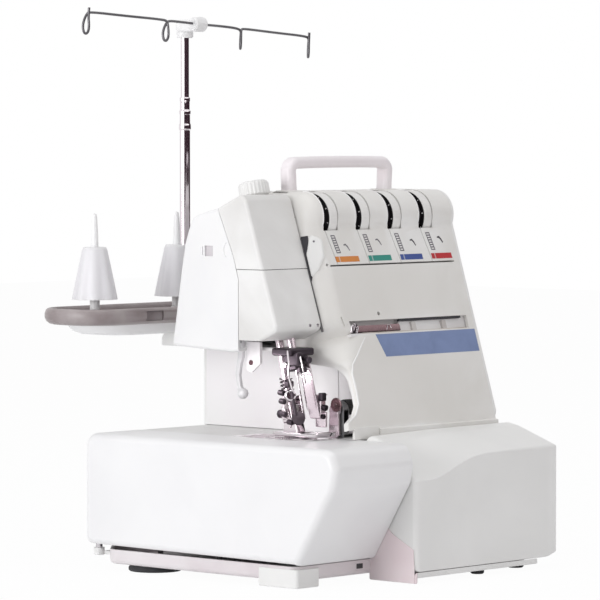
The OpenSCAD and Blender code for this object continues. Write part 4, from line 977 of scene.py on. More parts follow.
@dataclass
class SewingHead:
    """The head on the left: a side cover and a face in two pieces, with its lamp and screws."""

    x0: float = -98.0
    x1: float = -50.7
    wall: float = 2.5
    seam: tuple[Flat, ...] = ((5, 300), (5, 267), (-3, 249), (-7.5, 239), (-11, 231),
                              (-15.8, 215), (-16, 140))
    seam_z: float = 222.0
    half_gap: float = 0.22

    def shell(self, x1: float) -> Form:
        """The hollow head, open to the right and below."""
        form = Form().prism(HEAD_OUTLINE, Axis.X, self.x0, x1, round_lo=2.6)
        hollow = Form().prism(HEAD_OUTLINE.inset(self.wall), Axis.X, self.x0 + self.wall, x1 + 10)
        below = Form().box((self.x0 + 9, -46, 150), (x1 + 5, 40, 171))
        return form.cut(hollow, below, Form().rod(up_presser(30), up_presser(220), 8.4))

    def region(self, front: bool, lo: float = 120.0, hi: float = 320.0) -> Form:
        """The space in front of or behind the seam, between two heights."""
        shift, far = (-self.half_gap, -130) if front else (self.half_gap, 130)
        line = [(y + shift, z) for y, z in self.seam]
        top, bottom = self._cross(hi) + shift, self._cross(lo) + shift
        flat = [(far, lo), (far, hi), (top, hi)] + [p for p in line if lo < p[1] < hi] + [(bottom, lo)]
        return Form().along_x(flat, self.x0 - 5, 0)

    def _cross(self, z: float) -> float:
        """How far back the seam is at a height."""
        return blend_in(z, tuple((b, a) for a, b in reversed(self.seam)))

    def side_details(self, side: Form) -> Form:
        """Cuts the square pocket and the finger notch beside it into the side cover."""
        pocket = Form().box((self.x0 - 2, 9.2, 230.8), (self.x0 + 1.6, 17.4, 238.4))
        notch = Form()
        turns = [radians(a) for a in range(-80, 81, 16)]
        line = [(self.x0, -1 + 3.4 * cos(t) - 4.2, 235.6 + 5 * sin(t)) for t in turns]
        notch.tube(line, 0.55, 6)
        # The pocket's floor, in a darker colour as painted shade in the recess.
        floor = Form().box((self.x0 + 1.2, 9.3, 230.9), (self.x0 + 1.9, 17.3, 238.3))
        floor.make("side_pocket_floor", POCKET)
        slot = Form().box((self.x0 - 2, 19.2, 231.6), (self.x0 + 1, 20, 237.6))
        return side.cut(pocket, notch, slot)

    def liner(self) -> None:
        """A dark skin close behind the covers, which shows only through the seams as painted shade in
        them.
        """
        form = Form().prism(HEAD_OUTLINE.inset(1.7), Axis.X, self.x0 + 1.7, self.x1 - 3)
        form.cut(Form().prism(HEAD_OUTLINE.inset(2.3), Axis.X, self.x0 + 2.3, self.x1 + 3),
                 Form().box((self.x0 - 5, -90, 100), (0, 90, 178.5)),
                 Form().box((-74, -40, 258), (-50, 40, 290)))
        form.make("head_seam_shadow_liner", SEAM)

    def edge_gap(self) -> None:
        """A dark tube in the gap between the head's front edge and the front cover: painted shade of the
        gap.
        """
        line = [(self.x1 + 0.75, -53.6 + 0.333 * (z - 179) + (0.5 if z < 182 else 0), z)
                for z in (176.5, 179, 190, 205, 220, 235, 243.5)]
        gap = Form().tube(line, [0.8, 0.85, 0.65, 0.6, 0.65, 0.8, 0.6], 8)
        gap.make("head_edge_gap_shade", HEAD_GAP_SHADE, smooth=60)

    def under_parts(self) -> None:
        """The lamp, the base's four screws and the two crossed screws in the face."""
        lamp = Form().rod((-90, -36, 181), (-76, -36, 181), 5, 3)
        lamp.make("work_lamp_tube", LAMP, node="work_lamp")
        screws, slots = Form(), Form()
        for x, y in ((-80, 20), (-80, 80), (84, 20), (84, -70)):
            screws.lathe([(0, 1), (3.6, 1), (4, 1.5), (4, 4), (2, 4.1), (2, 17.6), (0, 18)],
                         (x, y, 0), Axis.Z, 28)
        tilt = Vector((0, -0.949, 0.316))
        for x in (-62, -53.8):
            base = Vector((x, -54 + 0.333 * (182 - 179), 182)) - tilt * 0.9
            screws.lathe([(0, -1.6), (1.4, -1.6), (1.5, 0.5), (1.3, 0.8), (0, 1)], tuple(base), tilt, 24)
            face, reach = base + tilt * 0.85, Vector((1, 0, 0))
            slots.tube([tuple(face - reach), tuple(face + reach)], 0.34, 6)
        screws.make("cover_screw_set", STEEL, node="cover_screws")
        slots.make("face_screw_crosses", DARK)

    def build(self) -> None:
        """Makes the head's three covers and the parts in them."""
        corner = Form().along_x([(-80, 150), (0, 150), (0, 171), (-80, 171)], self.x0 - 9, 0)
        side = self.shell(self.x1 + 1).cut(self.region(False), keep=True)
        self.side_details(side).make("head_side_shell", PLATE, node="head_cover", soften=0.25)
        upper = self.shell(self.x1).cut(self.region(True, self.seam_z + self.half_gap), keep=True)
        upper.make("face_upper_shell", FACE, node="face_upper_cover", soften=0.25)
        lower = self.shell(self.x1).cut(self.region(True, 120, self.seam_z - self.half_gap), keep=True)
        lower.cut(corner)
        lower.make("face_lower_shell", FACE, node="face_lower_cover", soften=0.3)
        self.liner()
        self.edge_gap()
        self.under_parts()


@dataclass
class ClothPlate:
    """The big swing-out plate that holds the cloth, a hollow box open below and to the right."""

    x0: float = -130.0
    x1: float = -47.5
    wall: float = 2.5
    outline: Outline = Outline(((-102, 16.3, 3), (-136.2, 72, 18), (-139, 86, 10),
                                (-134, 98, 9), (-126, 100, 9), (110, 100, 10), (110, 17.7, 7)), 7)
    opening: tuple[Spot, Spot] = ((-81.7, -61.4, -12), (-40, 130, 110))

    def build(self) -> None:
        """Makes the plate with its rounded rim."""
        rings = []
        for k in range(9):
            t = RIGHT_ANGLE * k / 8
            rings.append([(self.x0 + 6.5 * (1 - cos(t)), a, b)
                          for a, b in self.outline.inset(6.5 * (1 - sin(t)) * 0.85).points()])
        for x, cut in ((self.x1 - 0.8, 0), (self.x1 - 0.25, 0.18), (self.x1, 0.8)):
            rings.append([(x, a, b) for a, b in self.outline.inset(cut).points()])
        form = Form().loft(rings)
        hollow = Form().prism(self.outline.inset(self.wall), Axis.X, self.x0 + self.wall, self.x1 + 8)
        below = Form().box((self.x0 + self.wall, -98.5, 10), (self.x1 + 8, 107, 24))
        form.cut(hollow, Form().box(*self.opening), below)
        form.make("cloth_plate_shell", PLATE, "cloth_plate", "cloth_plate", smooth=30)
        lip = Form().box((-81.4, -61.1, 98.6), (-80.4, 110 - 9, 99.7))
        lip.make("cloth_plate_inner_edge", INNER, "cloth_plate")
        marks = Form()
        for i in range(9):
            marks.box((-79 - 3, -55 + i * 5, 99.9), (-79 - (5.5 if i % 2 else 8), -54.6 + i * 5, 100.06))
        marks.make("seam_guide_lines", INK, "cloth_plate")


@dataclass
class LooperCover:
    """The cover over the loopers, with its S-shaped crease."""

    x0: float = -46.8
    x1: float = 113.0
    front: float = -141.0
    rear: float = -91.0
    low: float = 8.5
    top: float = 106.0
    wall: float = 2.5
    cut_corner: float = 96.0
    crease: tuple[Flat, ...] = ((-47, 73.5), (-30, 73.8), (-22, 75), (-12, 78.2), (-2, 82.2), (8, 85.6),
                                (18, 87.8), (30, 89), (60, 89.6), (113, 90.5))

    def ring(self, x: float, cut: float) -> list[Spot]:
        """The cover's side view at one place, inset by a distance."""
        crest = blend_in(x, self.crease)
        lift = blend_in(x, ((-47, -1.6), (20, 0), (113, 0.4)))
        fold = blend_in(x, ((-47, 1.2), (-20, 1), (20, 1.8), (113, 3)))
        shape = Outline(((self.front, self.low, 0.8), (self.front, crest, fold),
                         (self.rear - 14, self.top - 3.2 + lift, 30),
                         (self.rear, self.top + lift - 0.4, 5), (self.rear + 2, self.low + 20, 2),
                         (self.front + 14, self.low, 2)), 6)
        return [(x, a, b) for a, b in shape.inset(cut).points()]

    def build(self) -> None:
        """Makes the cover and its two hinge lugs."""
        turns = [RIGHT_ANGLE * k / 6 for k in range(7)]
        rings = [self.ring(self.x0 + 5 * (1 - cos(t)), 5 * (1 - sin(t)) * 0.8) for t in turns]
        count = 46
        rings += [self.ring(self.x0 + 5 + (self.x1 - self.x0 - 10) * k / count, 0)
                  for k in range(1, count)]
        rings += [self.ring(self.x1 - 5 * (1 - cos(t)), 5 * (1 - sin(t)) * 0.8) for t in turns[::-1]]
        for ring in rings:
            for k, (x, y, z) in enumerate(ring):
                floor = self.low - 4 + (x - 88) / 3
                if x > self.cut_corner and z < floor:
                    ring[k] = (x, y, floor)
        form = Form().loft(rings)
        inside = [self.ring(self.x0 + self.wall + (self.x1 - self.x0 - 2 * self.wall) * k / 30,
                            self.wall) for k in range(31)]
        hollow = Form().loft(inside)
        below = Form().box((self.x0 + self.wall, self.front + self.wall, -5),
                           (self.x1 - self.wall, self.rear + 20, self.low + 22))
        behind = Form().box((self.x0 + self.wall, self.rear - 4, -5),
                            (self.x1 - self.wall, self.rear + 20, self.top - 8))
        form.cut(hollow, below, behind)
        form.make("looper_cover_shell", CASING, "looper_cover", "looper_cover", smooth=24)
        # A thin whiter tube along the crease: painted highlight on the fold.
        places = range(-42, 66, 4)
        crest = Form().tube([(x, self.front + 0.3, blend_in(x, self.crease) - 0.15) for x in places],
                            [0.42 * min(1, 0.35 + (x + 42) / 24, (66 - x) / 50) for x in places], 8)
        crest.make("looper_cover_crease_highlight", HIGHLIGHT_AND_PRINT_WHITE, "looper_cover", smooth=80)
        lugs = Form()
        for x in (-15, 73):
            lugs.prism(Outline(((self.front + 2, 12.5, 0.5), (-129, 11, 4), (-129, 20, 4),
                                (self.front + 2, 18.5, 0.5))), Axis.X, x, x + 8)
        lugs.cut(Form().rod((-40, *COVER_HINGE), (110, *COVER_HINGE), 2.56))
        lugs.make("looper_cover_lugs", CASING, "looper_cover", soften=0.4)
        grip = Form()
        grip.prism(rounded_rect((-100, 99), (-94, 101.5), 1), Axis.X, 20, 46, 1, 1)
        grip.make("looper_cover_latch", INNER, "looper_cover", soften=0.2)


@dataclass
class Handle:
    """The carrying handle on the top, one rounded bar bent over two legs."""

    left: float = -32.0
    right: float = 72.0
    y: float = -5.0
    foot_z: float = 273.0
    top_z: float = 302.0
    thick: float = 8.6
    deep: float = 11.6

    def build(self) -> None:
        """Sweeps the rounded section along the handle's line."""
        r, half = 7, self.thick / 2
        spread = 1.6
        legs = [((self.left, self.foot_z), (self.left - spread * 0.6, self.top_z - half - r - 3)),
                ((self.right + spread * 0.6, self.top_z - half - r - 3), (self.right, self.foot_z))]
        x_left, x_right = self.left - spread, self.right + spread
        line = [legs[0][0], (self.left - spread * 0.4, self.foot_z + 8), legs[0][1]]
        bends = [radians(a) for a in range(0, 91, 15)]
        line += [(x_left + r - r * cos(t), self.top_z - half - r + r * sin(t)) for t in bends[1:]]
        line += [(x_left + (x_right - x_left) * k / 10, self.top_z - half + 0.5 * sin(pi * k / 10))
                 for k in range(2, 9)]
        line += [(x_right - r + r * sin(t), self.top_z - half - r + r * cos(t)) for t in bends[:-1]]
        line += [legs[1][0], (self.right + spread * 0.4, self.foot_z + 8), legs[1][1]]
        section = rounded_rect((-half, -self.deep / 2), (half, self.deep / 2), 3.6, 5).points()
        rings = []
        for i, (x, z) in enumerate(line):
            a, b = line[max(i - 1, 0)], line[min(i + 1, len(line) - 1)]
            along = Vector((b[0] - a[0], b[1] - a[1])).normalized()
            side = Vector((-along.y, along.x))
            grow = 1.12 if i in (0, len(line) - 1) else 1
            rings.append([(x + side.x * u * grow, self.y + v, z + side.y * u * grow)
                          for u, v in section])
        form = Form().loft(rings)
        form.make("carrying_handle_bar", HANDLE, node="carrying_handle", smooth=40)
        feet = Form()
        for x in (self.left, self.right):
            feet.prism(rounded_rect((x - 7.8, self.y - 8.8), (x + 7.8, self.y + 8.8), 4), Axis.Z,
                       276.2, 277.7, round_hi=0.8)
        feet.make("handle_sockets", PANEL)


@dataclass
class TensionDial:
    """One thread tension dial: a ribbed wheel with a printed face."""

    number: int
    left: float
    width: float = 9.0
    radius: float = 19.0
    centre: Flat = (-26, 257.5)
    turn: float = 0.0

    def build(self) -> None:
        """Makes the wheel, its black ring and the printed marks."""
        body = f"tension_dial_{self.number}"
        y, z = self.centre
        r, wide = self.radius, self.width
        profile = [(3.2, 0), (r - 1.2, 0), (r - 0.4, 0.3), (r, 1.2), (r + 0.08, 1.8),
                   (r + 0.08, wide - 1.8), (r, wide - 1), (r - 1, wide), (3.2, wide)]
        wheel = Form().lathe(profile, (self.left, y, z), Axis.X, 180,
                             ribs(0.10, 60, 1.5, wide - 1.5))
        wheel.make(f"dial_wheel_{self.number}", DIAL, body, body, smooth=50)
        face = Form().lathe([(15.6, -0.02), (15.6, -0.22), (self.radius - 0.7, -0.22),
                             (self.radius - 0.7, 0.3)], (self.left, y, z), Axis.X, 72)
        face.make(f"dial_face_{self.number}", DIAL_FACE, body)
        marks = Form()
        for k in range(10):
            foot, half = (16.6, 0.3) if k % 2 else (16.2, 0.4)
            marks.tick(self.centre, radians(36 * k + self.turn), (foot, 17.6), half,
                       (self.left - 0.1, self.left - 0.3))
        marks.make(f"dial_marks_{self.number}", HIGHLIGHT_AND_PRINT_WHITE, body)
        line = Form().lathe([(14.6, -0.02), (14.6, -0.2), (15, -0.2), (15, -0.02)], (self.left, y, z),
                            Axis.X, 72)
        line.make(f"dial_line_{self.number}", DARK_INK, body)


@dataclass
class SideControls:
    """The knobs and sockets on the top and on the right end, and the right cover's trim."""

    x: float = 107.0
    wheel: Flat = (22, 66)
    dial: Flat = (-40, 150)
    screws: tuple[Flat, ...] = ((92, 150), (92, 30), (-22, 30), (-62, 124), (14, 262))

    def pressure_knob(self) -> None:
        """The ribbed presser-pressure knob on the head's top."""
        profile = [(0, 11.4), (6.45, 11.4), (6.45, 0), (7.4, 0), (7.6, 0.3), (7.6, 10.6), (10.4, 11),
                   (11.1, 11.8), (10.9, 19), (10.3, 20.6), (9.2, 21.3), (5, 21.7), (0, 21.8)]
        form = Form().lathe(profile, up_presser(175 / BAR_UP.z - 12), BAR_UP, 144,
                            ribs(0.28, 24, 11.4, 20))
        form.make("pressure_knob_cap", CASING, "pressure_knob", "pressure_knob", smooth=50)

    def handwheel(self) -> None:
        """The grooved handwheel with its hollow face."""
        profile = [(5, 6), (13.5, 6), (14, 4), (30, 4), (32.5, 4.6), (33.9, 6), (34, 8),
                   (34, 26.5), (33.6, 28.4), (32, 29.7), (28, 30), (26.6, 29), (26, 24),
                   (14.5, 23), (13, 25), (12.4, 28.6), (11, 29.4), (5, 29.4)]
        form = Form().lathe(profile, (self.x, *self.wheel), Axis.X, 180,
                            lambda a, h: -0.9 * max(0, cos(30 * a)) ** 2 if 6.5 < h < 27.5 else 0)
        form.make("handwheel_rim", WHEEL, "drive", "handwheel", smooth=45)
        cap = Form().lathe([(0, 27.6), (4.9, 27.6), (4.9, 29.2), (4.2, 29.7), (0, 29.9)],
                           (self.x, *self.wheel), Axis.X, 32)
        cap.make("handwheel_cap", CHROME, "drive")

    def length_dial(self) -> None:
        """The stitch length dial with plain ticks on its face, and the pointer beside it."""
        profile = [(3.4, 0.4), (16.6, 0.4), (17.4, 1.2), (17.4, 9.6), (16.4, 11.2), (14, 12),
                   (12.6, 11.2), (6, 11), (0, 11)]
        form = Form().lathe(profile, (self.x, *self.dial), Axis.X, 144,
                            ribs(0.5, 24, 1.4, 9))
        form.rod((self.x - 9, *self.dial), (self.x + 1, *self.dial), 3.4)
        form.make("length_dial_cap", WHEEL, "stitch_length_dial", "stitch_length_dial", smooth=45)
        ticks, (y, z) = Form(), self.dial
        for k in range(9):
            ticks.tick(self.dial, radians(-60 + 30 * k), (13.2, 15.6), 0.3,
                       (self.x + 11.5, self.x + 11.85))
        ticks.make("length_dial_ticks", DARK_INK, "stitch_length_dial")
        pointer = Form().along_x([(y + a, z + b) for a, b in ((-1.2, 21.5), (1.2, 21.5), (0, 19))],
                                 self.x - 0.1, self.x + 0.15)
        pointer.make("length_dial_pointer", DARK_INK)

    def lever_and_sockets(self) -> None:
        """The differential lever, the inlet and the cover's fixing screws."""
        lever = Form().box((self.x + 3.8, 53.2, 131.4), (self.x + 9, 62.8, 148.6), 1.8)
        lever.box((self.x - 12, 56.1, 134.2), (self.x + 4.4, 59.9, 145.8), 0.6)
        for k in range(5):
            lever.box((self.x + 8.6, 54.2, 135 + 2.4 * k), (self.x + 9.4, 61.8, 135.9 + 2.4 * k), 0.3)
        lever.make("differential_knob", WHEEL, "differential_lever", "differential_lever")
        ticks = Form()
        for k in range(6):
            ticks.box((self.x - 0.1, 65, 129.4 + 4.2 * k), (self.x + 0.12, 69 - (k % 2), 130 + 4.2 * k))
        ticks.make("differential_scale", DARK_INK)
        inlet = Form().box((self.x - 9, 60.6, 58.6), (self.x + 0.5, 87.4, 77.4), 1.2)
        well = Outline(((63.5, 61.5, 1), (84.5, 61.5, 1), (84.5, 72.5, 1), (80.5, 74.8, 1),
                        (67.5, 74.8, 1), (63.5, 72.5, 1)))
        inlet.cut(Form().prism(well, Axis.X, self.x - 6.4, self.x + 3))
        for y in (69.5, 78.5):
            inlet.box((self.x - 8, y - 0.7, 65.4), (self.x - 2.2, y + 0.7, 70.4))
        inlet.make("power_inlet_socket", BLACK, node="power_inlet", soften=0.2)
        screws, slots, face = Form(), Form(), self.x + 0.78
        for y, z in self.screws:
            screws.lathe([(0, -0.6), (3, -0.6), (3.2, 0.35), (2.4, 0.75), (0, 0.9)],
                         (self.x, y, z), Axis.X, 28)
            for a, b in ((1.7, 0.6), (0.6, -1.7)):
                slots.tube([(face, y - a, z - b), (face, y + a, z + b)], 0.34, 6)
        screws.make("right_cover_screws", CHROME)
        slots.make("right_cover_screw_crosses", DARK)

    def build(self) -> None:
        """Makes every control."""
        for k, left in enumerate(FrontCover().dial_lefts):
            TensionDial(k + 1, left, turn=(10, 20, 4, 28)[k]).build()
        self.pressure_knob()
        self.handwheel()
        self.length_dial()
        self.lever_and_sockets()


@dataclass
class ThreadStand:
    """The spool tray behind the machine, its four cones, the mast and the wire guides."""

    half: float = 157.0
    y0: float = 71.0
    y1: float = 141.0
    z0: float = 179.6
    z1: float = 191.6
    pin_y: float = 99.0
    pitch: float = 86.0
    mast: Flat = (0, 132)

    def tray(self) -> None:
        """The bulged grey tray on its white under-tray."""
        plan = rounded_rect((-self.half, self.y0), (self.half, self.y1), 30, 14)
        rings = []
        for z, cut in ((self.z0, 6), (self.z0 + 0.6, 3.6), (self.z0 + 2.4, 1.4), (self.z0 + 5, 0.2),
                       (self.z0 + 8, 0.2), (self.z0 + 10.4, 1), (self.z1 - 0.4, 2.2), (self.z1, 3.4),
                       (self.z1 - 0.3, 4.4), (self.z1 - 2, 5.6), (self.z1 - 5.4, 6.6),
                       (self.z1 - 6.4, 9)):
            rings.append([(a, b, z) for a, b in plan.inset(cut).points()])
        form = Form().loft(rings)
        form.cut(Form().box((-103, self.y0 - 3, self.z0 + 2.6), (-85, self.y0 + 3.2, self.z1 - 2.4)),
                 Form().rod((0, 132, self.z0 - 3), (0, 132, self.z1 + 3), 4.05, steps=40))
        form.make("spool_tray_top", TRAY, node="spool_tray", smooth=40)
        # A dark box filling the notch: painted shadow inside it.
        notch = Form().box((-102.4, self.y0 + 1.4, self.z0 + 3), (-85.6, self.y0 + 3.1, self.z1 - 2.8))
        notch.make("tray_notch", TRAY_NOTCH_DARK)
        under = []
        for z, cut, short in ((171.4, 15, 24), (172.2, 11.5, 18), (174.5, 9, 13), (179.9, 7, 9)):
            low = rounded_rect((-self.half + short, self.y0), (self.half - short, self.y1 - 2), 32, 14)
            under.append([(a, b, z) for a, b in low.inset(cut).points()])
        Form().loft(under).make("spool_tray_base", STAND, smooth=50)
        pads = Form()
        for k in range(4):
            x = (k - 1.5) * self.pitch
            pads.lathe([(5.2, 0), (13.5, 0), (14.4, 0.5), (14.4, 1), (13.6, 1.5), (5.2, 1.7)],
                       (x, self.pin_y, self.z1 - 6.4), Axis.Z, 48)
        pads.make("spool_rest_discs", TRAY, smooth=40)

    def spools(self) -> None:
        """The four pins and the pleated cones on them."""
        pins, cones = Form(), Form()
        for k in range(4):
            x, base = (k - 1.5) * self.pitch, 195
            pins.lathe([(0, -13), (4.9, -13), (4.9, -6), (4.4, -5), (3.6, -4.4), (3.6, 7), (2.9, 34),
                        (2.8, 40), (2.5, 52), (1.9, 62), (1.4, 65.2), (0, 66)], (x, self.pin_y, base),
                       Axis.Z, 32)
            rim = [(16, 0), (16.1, 0.5), (15.9, 1.2), (13.9, 12), (11.8, 23), (9.2, 36), (8.5, 38),
                   (7.9, 38.3), (3, 38.3), (3, 37), (7.2, 36.8), (8, 35.6), (12.6, 12), (14.8, 0.6),
                   (14.9, 0)]
            cones.lathe(rim, (x, self.pin_y, base + 3), Axis.Z, 96,
                        lambda a, h: 0.7 * cos(8 * a) * (1 - h / 42) if h < 36.4 else 0)
        pins.make("spool_pin_set", STAND, node="spool_pins", smooth=50)
        cones.make("cone_set", CONE, node="cone_holders", smooth=50)

    def mast_parts(self) -> None:
        """The telescopic mast with its rings."""
        x, y = self.mast
        tube = Form().lathe([(3.25, 178), (4, 178), (4, 321), (4.5, 321.4), (4.7, 322.4), (4.6, 325.6),
                             (4.1, 326.4), (4, 333), (4.4, 333.4), (4.5, 335.6), (4, 336.4),
                             (3.7, 337), (3.7, 342.8), (4, 343.2), (4, 345.6), (3.6, 346.2),
                             (3.25, 346.2)], (x, y, 0), Axis.Z, 48)
        tube.make("mast_outer", CHROME, node="mast_tube", smooth=40)
        foot = Form().lathe([(4, 180.5), (8.4, 180.5), (8.2, 182), (6.9, 183.2), (6.3, 190), (6, 196.4),
                             (5.2, 197), (4, 197)], (x, y, 0), Axis.Z, 48)
        foot.make("mast_foot", STAND, smooth=40)
        slide = Form().lathe([(0, 312), (3.19, 312), (3.19, 397.9), (0, 398)], (x, y, 0), Axis.Z, 48)
        slide.make("mast_inner", CHROME, "mast_top", "mast_slide", smooth=40)

    def guides(self) -> None:
        """The head on the mast and its bent wires with four hanging loops."""
        yaw = Matrix.Rotation(radians(4.5), 4, "Z")
        place = Matrix.Translation((self.mast[0], self.mast[1], 401)) @ yaw
        head = Form()
        head.lathe([(0, -5.6), (4.8, -5.6), (4.8, -10), (5.8, -10), (6.4, -9), (6.5, -2), (5.6, 1.8),
                    (3.4, 3.4), (0, 3.6)], (0, 0, 0), Axis.Z, 40)
        head.prism(Outline(((-19, -5.6, 2.5), (2, -5.6, 1.5), (2, 3.4, 1.5), (-19, 3.8, 3))),
                   Axis.X, -9, -0.5, 1.6, 1.6)
        head.lathe([(0, -10.5), (4.4, -10.5), (5.2, -9.6), (5.3, -3.6), (5.6, -2.6), (5.6, 1),
                    (4.8, 1.9), (0, 2)], (0, -16, 0), Axis.X, 40)
        Form().join(head, place).make("mast_head", STAND, "mast_top", "guide_head", smooth=40)
        tilt = Matrix.Translation((0, -16, 0)) @ Matrix.Rotation(radians(3.1), 4, "Y")
        wires = Form()
        for side in (-1, 1):
            near, far = (48 if side > 0 else -41.5), 132.4 * side
            flat = Vector((0.7, -0.7, 0)) if side < 0 else Vector((0.7, 0.7, 0))
            flat.normalize()
            path = [Vector((0.5 * side, 0, 0)), Vector((near * 0.6, 0, 0.4 if side > 0 else 0.1)),
                    Vector((near - 3.2 * side, 0, 0))]
            path += self._loop(Vector((near, 0, 0)), flat * side, 2.4, 15.4)
            path += [Vector((near + 3.4 * side, 0, 0.4)), Vector(((near + far) / 2, 0, 0)),
                     Vector((far - 3.4 * side, 0, 0))]
            path += self._loop(Vector((far, 0, 0)), flat * side, 2.5, 16.4, last=True)
            wires.tube(rounded([tuple(p) for p in path]), 1, 8)
        Form().join(wires, place @ tilt).make("guide_wires", WIRE, "mast_top", smooth=80)

    @staticmethod
    def _loop(top: Vector, flat: Vector, wide: float, drop: float, last: bool = False) -> list[Vector]:
        """One hanging loop of the wire, from the bar down, round and up again.

        Args:
            top: where the loop hangs from the bar.
            flat: the direction of the loop's width.
            wide: half its width.
            drop: how far it hangs.
            last: whether the wire ends after this loop.

        Returns:
            The loop's path.
        """
        down = Vector((0, 0, -1))
        bends = [(-0.5, 1.8), (0.5 * wide, 0.34 * drop), (0.92 * wide, 0.66 * drop),
                 (0.5 * wide, 0.95 * drop), (-0.25 * wide, drop), (-0.86 * wide, 0.86 * drop),
                 (-0.95 * wide, 0.6 * drop), (-0.7 * wide, 0.25 * drop),
                 (-0.8 * wide, -3) if last else (-0.4 * wide, 0.6)]
        return [top + flat * across + down * fall for across, fall in bends]

    def build(self) -> None:
        """Makes the whole stand."""
        self.tray()
        self.spools()
        self.mast_parts()
        self.guides()


@dataclass
class SewingWorks:
    """The needle, presser, knives and small parts seen in the throat."""

    bed_z: float = 100.0
    needle: Flat = (-66, -54)

    def frame(self, foot: Sequence[float]) -> Matrix:
        """A frame whose Z runs up a leaning bar from its foot on the bed."""
        return (Matrix.Translation((foot[0], foot[1], self.bed_z))
                @ Matrix.Rotation(-BAR_LEAN, 4, "X"))

    def needle_group(self) -> None:
        """The needle clamp with its screws, the thread hook and the needles."""
        place = self.frame(self.needle)
        clamp = Form().box((-5.4, -5.4, 50), (5.4, 5.4, 64), 1.4)
        clamp.rod((0, -5, 56), (0, -10.5, 56), 2.3, 0.5)
        clamp.rod((-5, 0, 55), (-10.2, 0, 55), 1.9, 0.4)
        clamp.box((-4, -7.6, 47.4), (4, -3.4, 51.6), 0.7)
        Form().join(clamp, place).make("needle_clamp_block", DARK, "needle", "needle_clamp", smooth=40)
        bright = Form()
        bright.lathe([(0, 0), (2, 0), (2.3, 0.4), (2.3, 1.6), (1.9, 2), (0, 2.1)], (0, -10.2, 56),
                     Vector((0, -1, 0)), 24)
        bright.lathe([(0, 0), (1.7, 0), (1.9, 0.3), (1.9, 1.2), (0, 1.5)], (-10, 0, 55),
                     Vector((-1, 0, 0)), 24)
        bright.tube([(3.4, -6, 51), (5.8, -8.2, 49.5), (6.2, -8.8, 46.8), (3.8, -8.4, 45.6),
                     (0, -8.2, 45.4), (-3.6, -8.2, 45.8), (-5.6, -7.8, 47.6)], 0.5)
        Form().join(bright, place).make("needle_clamp_bright", CHROME, "needle", smooth=40)
        needles = Form()
        for x in (-2.2, 2.2):
            needles.lathe([(0, 20), (0.25, 20.6), (0.42, 24), (0.55, 27), (0.55, 44.5), (0.98, 46.6),
                           (0.98, 56), (0, 56)], (x, -2.6, 0), Axis.Z, 16)
        Form().join(needles, place).make("needle_pair", CHROME, "needle", "needles", smooth=60)

    def presser_group(self) -> None:
        """The presser foot with its shank, toe, spring plate and screw."""
        place = self.frame(PRESSER_FOOT)
        shank = Form().box((-5.4, -4.9, 11.4), (5.4, 5.4, 24), 1.2)
        shank.box((-6.6, -3.4, 14), (-5, 3.6, 21.6), 0.5)
        shank.rod((-5.2, 0, 18), (-9.6, 0, 18), 2.2, 0.4)
        shank.box((4.6, -6.6, 12), (7, 4.4, 30), 0.6)
        Form().join(shank, place).make("presser_shank", CHROME, "presser", soften=0.1, smooth=40)
        z, n = self.bed_z, self.needle
        foot = Form()
        foot.prism(Outline(((n[1] - 20, z + 6.8, 1.2), (n[1] - 15.6, z + 2, 1.6), (n[1] + 24, z + 2, 1),
                            (n[1] + 27, z + 4.2, 0.8), (n[1] + 24, z + 4.7, 0.8),
                            (n[1] - 14, z + 4.7, 2))), Axis.X, n[0] - 9, n[0] + 11, 0.7, 0.7)
        foot.cut(Form().box((n[0] - 5, n[1] - 5, z), (n[0] + 4.2, n[1] + 7, z + 9)),
                 Form().box((n[0] + 5.6, n[1] - 24, z), (n[0] + 7.2, n[1] + 4, z + 9)))
        foot.prism(Outline(((-44, z + 4.2, 0.6), (-29.4, z + 4.2, 1), (-30.5, z + 13, 2),
                            (-41, z + 14, 2))), Axis.X, -65.5, -56.5, 0.8, 0.8)
        foot.rod((-66.4, -36.5, z + 8.4), (-55.6, -36.5, z + 8.4), 1.3, 0.3)
        foot.make("presser_foot_plate", CHROME, "presser", "presser_foot", soften=0.12, smooth=40)
        screw = Form().lathe([(0, 0), (2.6, 0), (3, 0.5), (3, 3.2), (2.4, 3.8), (0, 4)], (-9.4, 0, 18),
                             Vector((-1, 0, 0)), 28, ribs(0.14, 18))
        Form().join(screw, place).make("presser_screw", DARK, "presser", smooth=50)

    def lifter(self) -> None:
        """The bent presser lifter with its ball end."""
        x, y, z = -65, 2, 172
        blade = Form()
        rows = [((y + 12, z), 5.4), ((y + 10.5, z - 8), 5.2), ((y + 10.5, z - 15), 4.6),
                ((y + 12.5, z - 22), 4.2), ((y + 13.4, z - 29), 3.8), ((y + 12, z - 36), 3.4),
                ((y + 9.4, z - 41.5), 3.2)]
        rings = []
        for k, ((a, b), tall) in enumerate(rows):
            shift = min(1, k / 3) * 1.2
            rings.append([(x - 1.9 + shift * 0.3, a - tall * 0.55, b), (x + 1.9, a - tall * 0.55, b),
                          (x + 1.9, a + tall * 0.45, b), (x - 1.9 + shift * 0.3, a + tall * 0.45, b)])
        blade.loft(rings)
        blade.bevel(0.8, 3)
        blade.rod((x + 8, y + 12, z), (x - 9, y + 12, z), 2.98, 0.4)
        blade.lathe([(0, -4.1), (2, -3.6), (3.6, -1.9), (4.1, 0), (3.6, 2.1), (2, 3.6), (0, 4.1)],
                    (x, y + 8.6, z - 42), Axis.Z, 28)
        blade.make("lifter_blade", LEVER, "lifter", "lifter_lever", smooth=45)
        bracket = Form().prism(Outline(((-3, 152, 2), (6, 145, 2), (10.5, 147, 2),
                                        (10.5, 168, 1), (-3, 168, 1))), Axis.X, -61.6, -58.6, 0.5, 0.5)
        bracket.make("lifter_bracket", THROAT, smooth=40)
        pin = Form().rod((-62.4, 5.5, 152.5), (-61.4, 5.5, 152.5), 1.9, 0.3)
        pin.make("lifter_bracket_pin", ROSE, smooth=50)

